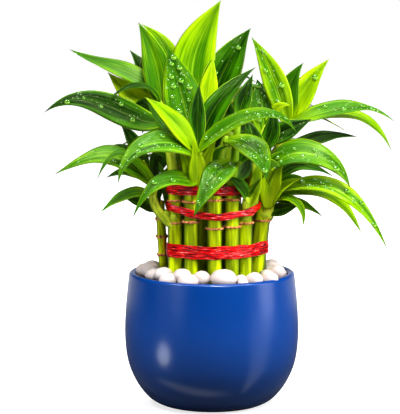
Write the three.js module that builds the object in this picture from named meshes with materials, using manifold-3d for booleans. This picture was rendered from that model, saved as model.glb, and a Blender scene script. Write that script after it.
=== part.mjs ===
// Lucky bamboo: a bunch of green canes with leafy shoots, tied with red ribbon, standing in
// soil under white pebbles in a round glazed pot.
// Millimetres, +Z up, the front faces -Y. The origin is the centre of the pot's flat foot.
import * as THREE from 'three';
import { mergeVertices } from 'three/addons/utils/BufferGeometryUtils.js';
import Module from 'manifold-3d';

const wasm = await Module();
wasm.setup();

// Driving dimensions

const clearance = 0.35;
const potSides = 24;
const potWall = 5.6;
const potFloor = 8;
const rimHeight = 114;
const soilTop = 99;
const gravelTop = 108.5;
const gravelCrown = 114;
const caneSides = 7;
const caneRadius = 6.3;
const caneFoot = 45;
const outerCaneTop = 198;
const innerCaneTop = 236;
const ringSwell = 0.8;
const ringHalf = 1.5;
const lowRing = 160;
const highRing = 181;
const shootSides = 6;
const leafThickness = 1.15;
const leafThinning = 0.35;
const leafFold = 0.3;
const tieThickness = 1.5;
const tieSamples = 14;

// Outer profile of the pot, radius and height, from the foot up to the lip.
const potProfile = [
  [39, 0], [46.5, 0.9], [55.5, 6.5], [64.5, 18], [71, 32], [74, 46], [75, 63],
  [74.2, 82], [72.8, 98], [71.6, 109],
];
const lipOuter = 71.3;
const lipInner = 65.2;

// The picture's own frame: 400 by 414 pixels, seen from the front and a little above.
const viewCentreX = 200;
const viewCentreY = 207;
const viewFocal = 1745.5;
const viewDistance = 1500;
const viewTilt = THREE.MathUtils.degToRad(7);
const viewTarget = new THREE.Vector3(-10.1, 0, 169.8);

// The point of the object that shows at pixel (px, py), at the depth given by its Y.
function seen([px, py, depth]) {
  const across = (px - viewCentreX) / viewFocal;
  const rise = (viewCentreY - py) / viewFocal;
  const cos = Math.cos(viewTilt);
  const sin = Math.sin(viewTilt);
  const forward = cos + rise * sin;
  const upward = rise * cos - sin;
  const reach = (depth + viewDistance * cos) / forward;
  return new THREE.Vector3(
    viewTarget.x + across * reach,
    depth,
    viewTarget.z + viewDistance * sin + upward * reach,
  );
}

// Solids and geometry

function toSolid(geometry) {
  const bare = geometry.clone();
  bare.deleteAttribute('normal');
  bare.deleteAttribute('uv');
  const merged = mergeVertices(bare, 1e-4);
  return new wasm.Manifold(new wasm.Mesh({
    numProp: 3,
    vertProperties: new Float32Array(merged.attributes.position.array),
    triVerts: new Uint32Array(merged.index.array),
  }));
}

function toGeometry(solid) {
  const mesh = solid.getMesh();
  const geometry = new THREE.BufferGeometry();
  geometry.setAttribute('position', new THREE.BufferAttribute(new Float32Array(mesh.vertProperties), 3));
  geometry.setIndex(new THREE.BufferAttribute(new Uint32Array(mesh.triVerts), 1));
  geometry.computeVertexNormals();
  return geometry;
}

// A closed skin over rings of points. A ring of one point closes its end in a tip, any other
// end ring is closed flat, and a loop joins its last ring to its first.
function skin(rings, loop = false) {
  const points = rings.flat();
  const starts = [];
  let total = 0;
  for (const ring of rings) {
    starts.push(total);
    total += ring.length;
  }
  const faces = [];
  const spans = loop ? rings.length : rings.length - 1;
  for (let i = 0; i < spans; i += 1) {
    const next = (i + 1) % rings.length;
    const count = Math.max(rings[i].length, rings[next].length);
    for (let k = 0; k < count; k += 1) {
      const after = (k + 1) % count;
      const a = starts[i] + (rings[i].length === 1 ? 0 : k);
      const b = starts[i] + (rings[i].length === 1 ? 0 : after);
      const c = starts[next] + (rings[next].length === 1 ? 0 : k);
      const d = starts[next] + (rings[next].length === 1 ? 0 : after);
      if (a !== b) faces.push(a, b, c);
      if (c !== d) faces.push(b, d, c);
    }
  }
  if (!loop) {
    const last = rings.length - 1;
    for (let k = 1; k + 1 < rings[0].length; k += 1) faces.push(starts[0], starts[0] + k + 1, starts[0] + k);
    for (let k = 1; k + 1 < rings[last].length; k += 1) {
      faces.push(starts[last], starts[last] + k, starts[last] + k + 1);
    }
  }
  const geometry = new THREE.BufferGeometry();
  geometry.setFromPoints(points);
  geometry.setIndex(faces);
  return geometry;
}

// The point at t (0 to 1) on the smooth path through evenly shared points.
function along(points, t) {
  const result = new THREE.Vector3();
  const last = points.length - 1;
  points.forEach((point, i) => {
    let weight = 1;
    for (let j = 0; j <= last; j += 1) {
      if (j !== i) weight *= (t * last - j) / (i - j);
    }
    result.addScaledVector(point, weight);
  });
  return result;
}

function heading(points, t) {
  const step = 1e-3;
  return along(points, t + step).sub(along(points, t - step)).normalize();
}

// Leaves and shoots

function leafWidth(t) {
  return 0.2 * (1 - t) ** 3 + Math.sin(Math.PI * t ** 0.8) ** 1.15;
}

// A leaf blade: a shallow trough with a ridge of flesh along its middle, tapering to its tip.
// face is the way its upper side looks at the root, faceEnd at the tip. A longer path has more
// stations.
function leafSolid({ path, width, face, faceEnd = face, fold = leafFold }) {
  const rings = [];
  const stations = path.length + 2;
  for (let i = 0; i < stations; i += 1) {
    const t = i / stations;
    const centre = along(path, t);
    const ahead = heading(path, t);
    const look = face.clone().lerp(faceEnd, t);
    const side = ahead.clone().cross(look).normalize();
    const up = side.clone().cross(ahead).normalize();
    const half = (width / 2) * leafWidth(t);
    const lift = half * fold * (1 - 0.6 * t);
    const thick = leafThickness * (1 - leafThinning * t);
    const top = centre.clone().addScaledVector(up, thick / 2);
    const bottom = centre.clone().addScaledVector(up, -thick / 2);
    const right = centre.clone().addScaledVector(side, half).addScaledVector(up, lift);
    const left = centre.clone().addScaledVector(side, -half).addScaledVector(up, lift);
    rings.push([top, right, bottom, left]);
  }
  rings.push([along(path, 1)]);
  return toSolid(skin(rings));
}

// A round stem that narrows along its path.
function shootSolid(path, startRadius, endRadius, stations = 4) {
  const rings = [];
  for (let i = 0; i <= stations; i += 1) {
    const t = i / stations;
    const centre = along(path, t);
    const ahead = heading(path, t);
    const side = ahead.clone().cross(new THREE.Vector3(0, 1, 0)).normalize();
    const other = ahead.clone().cross(side).normalize();
    const radius = startRadius + (endRadius - startRadius) * t;
    const ring = [];
    for (let k = 0; k < shootSides; k += 1) {
      const angle = (2 * Math.PI * k) / shootSides;
      ring.push(centre.clone()
        .addScaledVector(side, radius * Math.cos(angle))
        .addScaledVector(other, radius * Math.sin(angle)));
    }
    rings.push(ring);
  }
  return toSolid(skin(rings));
}

// Canes

// Where a cane's axis stands at a height: its foot at the soil, and its lean in mm per mm.
function caneAxis(cane, height) {
  const climb = height - soilTop;
  return new THREE.Vector3(cane.x + cane.lean[0] * climb, cane.y + cane.lean[1] * climb, height);
}

function caneSolid(cane, grow = 0) {
  const radius = cane.radius + grow;
  const profile = [new THREE.Vector2(0, caneFoot - grow), new THREE.Vector2(radius, caneFoot - grow)];
  for (const ring of cane.rings) {
    profile.push(new THREE.Vector2(radius, ring - ringHalf));
    profile.push(new THREE.Vector2(radius + ringSwell, ring));
    profile.push(new THREE.Vector2(radius, ring + ringHalf));
  }
  profile.push(new THREE.Vector2(radius, cane.top - 1.5));
  profile.push(new THREE.Vector2(radius - 1.5, cane.top));
  profile.push(new THREE.Vector2(0, cane.top));
  const geometry = new THREE.LatheGeometry(profile, caneSides);
  geometry.rotateX(Math.PI / 2);
  const spots = geometry.attributes.position;
  for (let i = 0; i < spots.count; i += 1) {
    const axis = caneAxis(cane, spots.getZ(i));
    spots.setX(i, spots.getX(i) + axis.x);
    spots.setY(i, spots.getY(i) + axis.y);
  }
  return toSolid(geometry);
}

function cane(x, y, top, rings, extra = {}) {
  return { x, y, top, rings, radius: caneRadius, lean: [0, 0], ...extra };
}

const outerRings = [lowRing, highRing];
const innerRings = [178, 226];

const canes = {
  a: cane(-40.4, -2, 176, [129, 144.6, 160], { radius: 3.9, lean: [-0.055, 0] }),
  b: cane(-31, -27, 186, [lowRing, 179]),
  c: cane(-17.3, -37.2, outerCaneTop, [lowRing + 2, 179]),
  e: cane(2.1, -41, outerCaneTop, [lowRing - 3, highRing]),
  f: cane(16.7, -37.5, outerCaneTop, [lowRing - 2, highRing]),
  g: cane(27.8, -28.5, 176, [lowRing]),
  h: cane(36, -10.6, 176, [lowRing], { radius: 6.8, lean: [0.115, 0] }),
  i: cane(41, 9, outerCaneTop, outerRings),
  j: cane(34, 26.5, outerCaneTop, outerRings),
  k: cane(20, 39, outerCaneTop, outerRings),
  m: cane(3, 45, outerCaneTop, outerRings),
  n: cane(-15.5, 36.5, outerCaneTop, outerRings),
  o: cane(-27, 25, outerCaneTop, outerRings),
  p: cane(-29, 7, outerCaneTop, outerRings),
  d: cane(-6.8, -18.8, innerCaneTop, innerRings),
  q: cane(13, -14, innerCaneTop, innerRings),
  r: cane(17, 10, innerCaneTop, innerRings),
  s: cane(-3, 16, innerCaneTop, innerRings),
  t: cane(-17, -2, innerCaneTop, innerRings),
};

// Shoots that show from the front: points in the picture with their depth, and the radius at
// each end.
const shownShoots = {
  a: [{ points: [[159, 214, -3], [156, 196, -3], [150, 178, -1], [143, 160, 1]], radii: [3.8, 2.6] }],
  b: [
    { points: [[176, 205, -27], [174, 180, -26], [168, 140, -18], [160, 100, -8]], radii: [5.8, 3] },
    { points: [[176, 227, -27], [160, 213, -31.5], [153, 198, -32], [157, 183, -33]], radii: [4.6, 3.4] },
  ],
  c: [{ points: [[193, 196, -36], [197, 186, -37.5], [196, 166, -41], [195, 149, -42]], radii: [5.6, 4.6] }],
  d: [{ points: [[205, 140, -18], [206, 125, -15], [206, 112, -10], [203, 98, -6]], radii: [5, 3] }],
  e: [{ points: [[215, 196, -41], [216, 178, -38], [221, 155, -35], [227, 136, -34]], radii: [4.8, 3] }],
  f: [{ points: [[231, 196, -37], [233, 176, -34], [236, 145, -30], [238, 112, -26]], radii: [5, 3.2] }],
  g: [
    { points: [[247, 214, -28], [254, 196, -25], [257, 165, -20], [268, 120, -8]], radii: [5, 3] },
    { points: [[247, 217, -31], [246, 210, -35.5], [246, 203, -38], [248, 197, -39]], radii: [4.2, 3] },
  ],
  h: [{ points: [[265, 216, -10], [271, 192, -13], [276, 158, -10], [292, 118, -3]], radii: [7.2, 3.4] }],
  q: [{ points: [[226, 137, -14], [228, 126, -13], [229, 117, -12]], radii: [5, 3] }],
};

// Ways that a leaf's upper side looks.
const toFront = new THREE.Vector3(0, -0.97, 0.25);
const toSky = new THREE.Vector3(0, -0.65, 0.76);
const toTop = new THREE.Vector3(0, -0.3, 0.95);
const toLeft = new THREE.Vector3(-0.35, -0.75, 0.55);
const toRight = new THREE.Vector3(0.35, -0.75, 0.55);
const toBack = new THREE.Vector3(0.7, 0.6, 0.2);

// Leaves that show from the front: points in the picture with their depth from root to tip,
// the width in mm and the way the upper side looks.
const shownLeaves = {
  a: [
    { points: [[157, 212, -6], [139, 202, -12], [118, 194, -16]], width: 14, face: toSky },
    { points: [[146, 166, 1], [120, 150, 6], [88, 160, 10]], width: 12, face: toSky },
    { points: [[150, 178, -1], [134, 142, 3], [121, 126, 6]], width: 12, face: toFront },
    { points: [[152, 186, -2], [131, 172, -4], [106, 178, -4]], width: 13, face: toSky },
  ],
  b: [
    { points: [[160, 104, -9], [139, 79, -5], [106, 64.5, 0], [69, 49, 4]], width: 19, face: toSky },
    {
      points: [[163, 122, -14], [128, 115, -20], [88, 100, -24], [43.7, 113, -24]],
      width: 22, face: toFront,
    },
    { points: [[161, 106, -7], [134, 95, -1], [107.5, 72, 3]], width: 22, face: toFront },
    { points: [[160, 103, -10], [146, 87, -16], [126, 88, -22], [108, 102, -26]], width: 7, face: toSky },
    { points: [[163, 114, -10], [155.5, 64, -8], [138, 22, -12]], width: 23, face: toFront, fold: 0.4 },
    { points: [[161, 107, -8], [168, 58, 6], [141, 24, 5]], width: 20, face: toFront, fold: 0.4 },
    {
      points: [[157, 186, -33], [124, 162, -38], [95, 157, -42], [53.6, 175, -44]],
      width: 23, face: toSky,
    },
    { points: [[155, 190, -33], [122, 154, -46], [96.7, 181, -54]], width: 8, face: toSky },
    { points: [[154, 194, -33], [127, 195, -50], [100, 213, -62]], width: 12, face: toSky },
    { points: [[162, 120, -12], [146, 106, -8], [127, 114, -6]], width: 14, face: toFront },
    { points: [[165, 134, -16], [151, 122, -12], [142, 134, -10]], width: 13, face: toFront },
    { points: [[169, 158, -22], [146, 142, -20], [124, 154, -20]], width: 13, face: toFront },
    { points: [[160, 103, -7], [147, 74, 5], [129.5, 50, 10]], width: 15, face: toFront },
    { points: [[166, 150, -21], [158, 162, -18], [153, 181, -11]], width: 15, face: toFront },
    { points: [[170, 166, -23], [160.5, 187, -14], [159.5, 205, -12]], width: 7, face: toFront },
  ],
  c: [
    {
      points: [[196, 154, -44], [169, 143, -58], [137, 150.5, -68], [118, 184, -76]],
      width: 23, face: toLeft,
    },
    {
      points: [[196, 182, -39], [180, 180, -52], [157, 184.5, -66], [132, 219.5, -74]],
      width: 19, face: toLeft,
    },
    { points: [[195, 152, -43], [173, 122, -54], [144, 96.5, -60]], width: 20, face: toRight },
    { points: [[193, 150, -41], [168, 128, -40], [146, 101, -38]], width: 12, face: toFront },
    { points: [[193, 148, -41], [181, 92, -32], [167.5, 46.6, -32]], width: 31, face: toFront },
    {
      points: [[198, 150, -42], [197, 114, -39], [199.5, 83.4, -37]],
      width: 14, face: toFront, fold: 0.5,
    },
    { points: [[200, 150, -41], [217, 105, -36], [256, 67, -34]], width: 19, face: toFront },
    {
      points: [[198, 154, -45], [221, 131, -60], [262, 114, -72], [297, 134, -78]],
      width: 18, face: toSky,
    },
  ],
  d: [
    { points: [[204, 112, -10], [192, 72, -2], [203, 33, 0], [221, 0, -4]], width: 35, face: toFront },
    { points: [[206, 116, -13], [209, 86, -14], [213.5, 56.6, -15]], width: 15, face: toFront },
    { points: [[206, 118, -12], [226, 67, -4], [251, 28, -4]], width: 29, face: toFront },
  ],
  e: [
    { points: [[226, 140, -35], [255, 152, -59], [266.5, 181.6, -66]], width: 26, face: toRight },
    { points: [[218, 172, -37], [216, 154, -40], [229, 146, -42]], width: 7, face: toFront },
    { points: [[217, 176, -37], [210, 152, -34], [214, 134, -30]], width: 11, face: toFront },
  ],
  f: [
    { points: [[238, 116, -27], [244, 97, -25], [253, 74, -23]], width: 14, face: toFront },
    { points: [[235, 166, -32], [246, 146, -28], [249, 124, -26]], width: 12, face: toFront },
    { points: [[235, 180, -33], [246, 168, -23], [248, 152, -18]], width: 11, face: toFront },
    {
      points: [[236, 162, -35], [224, 169, -52], [209, 188, -64], [193.4, 217.5, -70]],
      width: 26, face: toLeft,
    },
  ],
  g: [
    { points: [[247, 200, -38], [240, 186, -46], [226, 177, -52]], width: 13, face: toRight },
    { points: [[247, 199, -38], [253, 188, -40], [262, 178, -42]], width: 6, face: toFront },
    { points: [[264, 136, -12], [262, 104, -8], [257, 79, -2]], width: 22, face: toSky },
    { points: [[258, 162, -19], [254, 138, -19], [243, 116, -18]], width: 14, face: toFront },
    { points: [[260, 152, -17], [272, 130, -18], [270, 104, -18]], width: 14, face: toFront },
    { points: [[256, 178, -22], [268, 164, -33], [281, 168, -42]], width: 9, face: toFront },
    { points: [[257, 172, -22], [265, 160, -24], [272, 142, -24]], width: 8, face: toFront },
    { points: [[266, 126, -10], [277, 108, -14], [291, 106, -20]], width: 8, face: toFront },
    { points: [[262, 142, -13], [287, 130, -19], [312, 119, -25]], width: 17, face: toFront },
  ],
  h: [
    {
      points: [[271, 195, -15], [285, 157, -30], [322, 157.5, -38], [350, 188, -48]],
      width: 26, face: toTop, faceEnd: toFront,
    },
    { points: [[277, 156, -9], [306, 143, 4], [331, 136, 10], [357.5, 137, 14]], width: 15, face: toSky },
    { points: [[290, 124, -4], [288, 92, -8], [303.6, 62.5, -10]], width: 19, face: toFront },
    { points: [[290, 122, -3], [284, 94, 4], [298, 66, 8]], width: 16, face: toFront },
    { points: [[291, 122, -3], [305, 89, -3], [329.5, 58.7, -6]], width: 20, face: toFront },
    { points: [[288, 126, -5], [273, 78, -14], [251.4, 37, -16]], width: 20, face: toFront },
    {
      points: [[291, 121, -4], [325, 112.5, -13], [360, 107.5, -8], [395, 122, -6]],
      width: 21, face: toSky, faceEnd: toTop,
    },
    { points: [[290, 124, -3], [335, 113.5, 6], [369, 121.5, 10], [392, 152, 14]], width: 13, face: toSky },
    {
      points: [[270, 197, -14], [311, 185, -30], [351.5, 199, -42], [388, 250.5, -46]],
      width: 22, face: toTop, faceEnd: toRight,
    },
    {
      points: [[270, 196, -12], [318, 191, -18], [345, 207, -20], [362, 234, -22]],
      width: 13, face: toRight,
    },
    { points: [[270, 200, -13], [298, 203, -24], [323, 217, -32]], width: 10, face: toSky },
    {
      points: [[268, 205, -13], [287, 198, -28], [301, 208, -36], [302, 228, -40]],
      width: 8, face: toSky,
    },
    { points: [[267, 212, -12], [284, 208.5, -22], [300, 203.5, -28]], width: 11, face: toFront },
    { points: [[272, 192, -12], [287, 179, -14], [311, 181, -16]], width: 10, face: toSky },
    { points: [[273, 184, -12], [299, 166, -4], [334, 177, 0]], width: 13, face: toSky },
  ],
  q: [
    { points: [[228, 124, -13], [227, 110, -15], [232, 99, -15]], width: 13, face: toFront },
    { points: [[229, 127, -13], [243, 125, -11], [256, 117, -9]], width: 14, face: toFront },
    { points: [[226, 133, -14], [219, 139, -17], [214.5, 152, -19]], width: 9, face: toFront },
  ],
};

// Shoots and leaves at the back and on the inner canes, drawn by a rule

// A repeatable draw of numbers from 0 to 1.
function draws(seed) {
  let state = seed;
  return () => {
    state = (state + 0x6d2b79f5) | 0;
    let mixed = Math.imul(state ^ (state >>> 15), 1 | state);
    mixed = (mixed + Math.imul(mixed ^ (mixed >>> 7), 61 | mixed)) ^ mixed;
    return ((mixed ^ (mixed >>> 14)) >>> 0) / 4294967296;
  };
}

// Each hidden shoot: its seed, the compass angle it leans to in degrees (0 is the front, 90 the
// right, 180 the back), its height, its lean, and how many leaves it carries.
const drawnShoots = {
  i: { seed: 175, toward: 120, rise: 12, lean: 6, leaves: 2, size: 0.6 },
  j: { seed: 66, toward: 124, rise: 48, lean: 18, leaves: 4, size: 0.92 },
  k: { seed: 36, toward: 155, rise: 24, lean: 14, leaves: 4 },
  m: { seed: 2, toward: 180, rise: 50, lean: 18, leaves: 4 },
  n: { seed: 22, toward: 205, rise: 26, lean: 14, leaves: 4 },
  o: { seed: 25, toward: 228, rise: 52, lean: 18, leaves: 4 },
  p: { seed: 127, toward: 235, rise: 10, lean: 2, leaves: 2, size: 0.7 },
  r: { seed: 22, toward: 125, rise: 22, lean: 8, leaves: 4, size: 0.9 },
  s: { seed: 44, toward: 177, rise: 34, lean: 8, leaves: 4, size: 0.8 },
  t: { seed: 1, toward: 250, rise: 12, lean: 2, leaves: 2, size: 0.6 },
};
const drawnRadii = [5, 3];
const fanSpread = 120;
const fanWander = 16;
const leafReach = [58, 84];
const leafBreadth = [15, 22];
const steepClimb = [0.5, 0.75];
const flatClimb = [0.1, 0.35];
const tipDroop = 0.25;
const shootBow = 0.06;

function compass(degrees) {
  const angle = THREE.MathUtils.degToRad(degrees);
  return new THREE.Vector3(Math.sin(angle), -Math.cos(angle), 0);
}

// The path of a hidden shoot, and the path, width and face of each of its leaves.
function drawnGrowth(stalk, plan) {
  const draw = draws(plan.seed);
  const between = ([low, high]) => low + (high - low) * draw();
  const up = new THREE.Vector3(0, 0, 1);
  const foot = caneAxis(stalk, stalk.top - 4);
  const crown = foot.clone().addScaledVector(compass(plan.toward), plan.lean).addScaledVector(up, plan.rise);
  const middle = foot.clone().lerp(crown, 0.5).addScaledVector(up, plan.rise * shootBow);
  const shoot = [foot, middle, crown];
  const size = plan.size ?? 1;
  const leaves = [];
  for (let i = 0; i < plan.leaves; i += 1) {
    const share = i / (plan.leaves - 1);
    const turn = plan.toward + (share - 0.5) * fanSpread + (draw() - 0.5) * fanWander;
    const out = compass(turn);
    const reach = between(leafReach) * size;
    const climb = between(i % 2 === 0 ? steepClimb : flatClimb);
    const root = along(shoot, 0.8 + 0.17 * (i % 2));
    const via = root.clone().addScaledVector(out, reach * 0.45).addScaledVector(up, reach * climb * 0.75);
    const tip = root.clone().addScaledVector(out, reach).addScaledVector(up, reach * (climb - tipDroop));
    const face = out.clone().multiplyScalar(-0.5).addScaledVector(up, 0.85);
    leaves.push({ path: [root, via, tip], width: between(leafBreadth) * size, face });
  }
  return { shoot, leaves };
}

// One stalk is one grown body: its cane, its shoots and all their leaves.
function stalkSolid(key) {
  const grown = [caneSolid(canes[key])];
  for (const shoot of shownShoots[key] ?? []) grown.push(shootSolid(shoot.points.map(seen), ...shoot.radii));
  for (const leaf of shownLeaves[key] ?? []) grown.push(leafSolid({ ...leaf, path: leaf.points.map(seen) }));
  if (drawnShoots[key]) {
    const growth = drawnGrowth(canes[key], drawnShoots[key]);
    grown.push(shootSolid(growth.shoot, ...drawnRadii, 3));
    for (const leaf of growth.leaves) grown.push(leafSolid(leaf));
  }
  return wasm.Manifold.union(grown);
}

// Pot

function lathe(profile, sides = potSides) {
  const geometry = new THREE.LatheGeometry(profile.map(([r, z]) => new THREE.Vector2(r, z)), sides);
  geometry.rotateX(Math.PI / 2);
  return geometry;
}

// The inside of the pot from its floor to the lip, drawn in by a margin.
function innerProfile(margin) {
  const inside = [[0, potFloor + margin], [40, potFloor + margin], [49 - margin, potFloor + 3 + margin]];
  for (const i of [3, 5, 7, 9]) {
    const [radius, height] = potProfile[i];
    inside.push([radius - potWall - margin, height + 1.5]);
  }
  return inside;
}

function potGeometry() {
  const inside = innerProfile(0).reverse();
  return lathe([
    [0, 0],
    ...potProfile,
    [lipOuter, rimHeight - 2.2],
    [lipOuter - 1.1, rimHeight - 0.6],
    [(lipOuter + lipInner) / 2, rimHeight],
    [lipInner + 0.9, rimHeight - 0.7],
    [lipInner, rimHeight - 2.4],
    ...inside,
  ]);
}

// Soil

function soilSolid() {
  const wall = innerProfile(clearance);
  const [, brim] = wall.at(-1);
  const below = lathe([[0, 0], [lipOuter, 0], [lipOuter, soilTop], [0, soilTop]]);
  let soil = toSolid(lathe([...wall, [0, brim]])).intersect(toSolid(below));
  for (const key of Object.keys(canes)) soil = soil.subtract(caneSolid(canes[key], clearance));
  return soil;
}

// Pebbles

// Pebbles that show: middle and top in the picture with the depth, width and height in mm.
const shownPebbles = [
  { top: [152.5, 255, 14], width: 16, height: 12 },
  { top: [150.5, 260, -10], width: 18, height: 14 },
  { top: [153.5, 265, -25], width: 15, height: 12 },
  { top: [163.5, 263.5, -33], width: 17, height: 13 },
  { top: [169, 270, -45], width: 17.5, height: 12 },
  { top: [182.5, 263.5, -46], width: 16.5, height: 14 },
  { top: [189, 274, -54], width: 19, height: 12 },
  { top: [201.5, 270, -52], width: 16, height: 13 },
  { top: [223.5, 269, -54], width: 23, height: 16 },
  { top: [241, 269, -49], width: 11, height: 10 },
  { top: [243, 275.5, -56], width: 9.5, height: 9 },
  { top: [254.5, 267, -46], width: 15, height: 13 },
  { top: [270, 269, -41], width: 14.5, height: 12 },
  { top: [267.5, 265, -28], width: 12, height: 11 },
  { top: [276, 262, -14], width: 16, height: 14 },
];
// Pebbles out of the picture: ring radius, how many, the angles they fill, and their width.
const pebbleRings = [
  { radius: 56, count: 10, from: 92, to: 262, width: 17.5 },
  { radius: 50, count: 3, from: 66, to: 118, width: 12 },
];
const pebbleSeed = 40;
const pebbleLimit = lipInner - 1.2;
const pebbleDepth = 0.82;
const pebbleSink = 0.42;
const crownReach = 44;
const bedSides = 12;
const openTop = rimHeight + 30;

// How high the gravel is at a place: level in the middle, and falling off to the rim.
function gravelHeight({ x, y }) {
  const fall = (Math.hypot(x, y) - crownReach) / (pebbleLimit - 6 - crownReach);
  return THREE.MathUtils.lerp(gravelCrown, gravelTop, THREE.MathUtils.clamp(fall, 0, 1));
}

function pebbleSolid(stone, centre, width, height, turn) {
  stone.scale(width, width * pebbleDepth, height);
  stone.rotateZ(turn);
  stone.translate(centre.x, centre.y, centre.z);
  return toSolid(stone);
}

function pebblesSolid() {
  const draw = draws(pebbleSeed);
  const bed = [toSolid(lathe([
    [0, soilTop + clearance],
    [pebbleLimit - 4, soilTop + clearance],
    [pebbleLimit - 6, gravelTop],
    [crownReach, gravelCrown],
    [0, gravelCrown],
  ], bedSides))];
  for (const { top, width, height } of shownPebbles) {
    const centre = seen(top);
    centre.z = Math.min(centre.z - height / 2, gravelHeight(centre) + height * pebbleSink);
    bed.push(pebbleSolid(new THREE.IcosahedronGeometry(0.5, 1), centre, width, height, 0));
  }
  for (const { radius, count, from, to, width } of pebbleRings) {
    for (let i = 0; i < count; i += 1) {
      const bearing = from + ((to - from) * i) / (count - 1);
      const spot = compass(bearing).multiplyScalar(radius + (draw() - 0.5) * 3);
      const size = width * (0.9 + 0.25 * draw());
      spot.z = gravelHeight(spot) + size * (0.1 + 0.2 * draw());
      const stone = new THREE.DodecahedronGeometry(0.54);
      bed.push(pebbleSolid(stone, spot, size, size * 0.8, Math.PI * draw()));
    }
  }
  const hollow = toSolid(lathe([
    [0, soilTop + clearance],
    [pebbleLimit, soilTop + clearance],
    [pebbleLimit, openTop],
    [0, openTop],
  ], bedSides * 2));
  let pebbles = wasm.Manifold.union(bed).intersect(hollow);
  for (const key of Object.keys(canes)) pebbles = pebbles.subtract(caneSolid(canes[key], clearance));
  const pieces = pebbles.decompose().sort((one, two) => two.volume() - one.volume());
  return pieces[0];
}

// Ties

// The outline, seen from above, of a band pulled tight round discs, clear of them by a gap.
function tightOutline(discs, gap) {
  const spots = [];
  for (const { x, y, radius } of discs) {
    for (let i = 0; i < tieSamples; i += 1) {
      const angle = (2 * Math.PI * i) / tieSamples;
      spots.push([x + (radius + gap) * Math.cos(angle), y + (radius + gap) * Math.sin(angle)]);
    }
  }
  spots.sort((one, two) => one[0] - two[0] || one[1] - two[1]);
  const turn = (o, a, b) => (a[0] - o[0]) * (b[1] - o[1]) - (a[1] - o[1]) * (b[0] - o[0]);
  const chain = (list) => {
    const hull = [];
    for (const spot of list) {
      while (hull.length > 1 && turn(hull[hull.length - 2], hull[hull.length - 1], spot) <= 1e-9) hull.pop();
      hull.push(spot);
    }
    hull.pop();
    return hull;
  };
  return [...chain(spots), ...chain(spots.reverse())];
}

// A closed ribbon round discs: its mid height is given for each compass angle about the axis.
function ribbonGeometry(discs, width, heightAt, gap) {
  const outline = tightOutline(discs, gap);
  const count = outline.length;
  const rings = outline.map(([x, y], i) => {
    const before = outline[(i + count - 1) % count];
    const after = outline[(i + 1) % count];
    const into = new THREE.Vector2(x - before[0], y - before[1]).normalize();
    const away = new THREE.Vector2(after[0] - x, after[1] - y).normalize();
    const out = new THREE.Vector2(into.y + away.y, -into.x - away.x).normalize();
    const spread = tieThickness / Math.max(0.5, out.dot(new THREE.Vector2(into.y, -into.x)));
    const middle = heightAt(THREE.MathUtils.radToDeg(Math.atan2(x, -y)));
    const low = middle - width / 2;
    const high = middle + width / 2;
    return [
      new THREE.Vector3(x, y, low),
      new THREE.Vector3(x, y, high),
      new THREE.Vector3(x + out.x * spread, y + out.y * spread, high),
      new THREE.Vector3(x + out.x * spread, y + out.y * spread, low),
    ];
  });
  return skin(rings, true);
}

function discsOf(keys, height) {
  return [...keys].map((key) => {
    const axis = caneAxis(canes[key], height);
    return { x: axis.x, y: axis.y, radius: canes[key].radius };
  });
}

// Two buds at the foot of stalk_g's shoots, which the middle tie goes round.
const buds = [{ x: 29.5, y: -35, radius: 4.8 }, { x: 33.5, y: -26.5, radius: 5.6 }];
const swag = { dip: 167, rise: 14, middle: 4, spread: 60 };

// The middle tie hangs lowest near the front.
function swagHeight(angle) {
  return swag.dip + swag.rise * (1 - Math.exp(-(((angle - swag.middle) / swag.spread) ** 2)));
}

// Each tie: the canes it holds, its level, its width, and how far it stays clear of them.
const ties = {
  tie_lower: { keys: 'bcefghijkmnop', level: 136.8, width: 11.4, gap: 0.6 },
  tie_middle: { keys: 'bcefgdqrnopts', level: 170, width: 6.4, gap: 1.4, buds, heightAt: swagHeight },
  tie_upper: { keys: 'bcefnopdqrst', level: 189, width: 8, gap: 0.6 },
  tie_crown: { keys: 'dqrst', level: 206, width: 7, gap: 0.6 },
};

function tieGeometry({ keys, level, width, gap, buds: extra = [], heightAt = () => level }) {
  return ribbonGeometry([...discsOf(keys, level), ...extra], width, heightAt, gap);
}

// Materials

function finish(color, roughness, metalness = 0) {
  return new THREE.MeshStandardMaterial({ color, roughness, metalness });
}

const glaze = finish(0x0f449a, 0.12);
const earth = finish(0x2e2118, 0.95);
const whiteStone = finish(0xebe4df, 0.5);
const redRibbon = finish(0xd80e16, 0.25);
const waxy = 0.35;
const greens = [0x4f9a14, 0x5fa81a, 0x6bb41c, 0x3f8612];

// The whole plant in its pot

const plant = new THREE.Group();
plant.name = 'lucky_bamboo';

// A mesh that stands at an anchor, with its geometry kept round that anchor.
function place(name, geometry, material, anchor = new THREE.Vector3()) {
  geometry.translate(-anchor.x, -anchor.y, -anchor.z);
  const mesh = new THREE.Mesh(geometry, material);
  mesh.name = name;
  mesh.position.copy(anchor);
  plant.add(mesh);
}

place('pot', potGeometry(), glaze);
place('soil', toGeometry(soilSolid()), earth, new THREE.Vector3(0, 0, soilTop));
place('pebbles', toGeometry(pebblesSolid()), whiteStone, new THREE.Vector3(0, 0, gravelTop));
Object.keys(canes).forEach((key, i) => {
  const foot = caneAxis(canes[key], caneFoot);
  place(`stalk_${key}`, toGeometry(stalkSolid(key)), finish(greens[i % greens.length], waxy), foot);
});
for (const [name, tie] of Object.entries(ties)) place(name, tieGeometry(tie), redRibbon);

export default plant;
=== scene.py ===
"""A lucky bamboo in its glazed pot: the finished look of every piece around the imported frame.

The plant is a bunch of green canes with leafy shoots, tied with red ribbon, in soil under white
pebbles. Its sizes and the pot's are in millimetres and turned into metres where a mesh is made.
The finishes, the floor and the lamps are in metres.
"""
import logging
import math
from collections.abc import Callable, Iterable, Sequence
from dataclasses import dataclass, field
from enum import Enum

import bpy
from bpy.types import Material, Node, NodeSocket, NodeTree, Object
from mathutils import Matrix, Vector, noise


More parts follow.
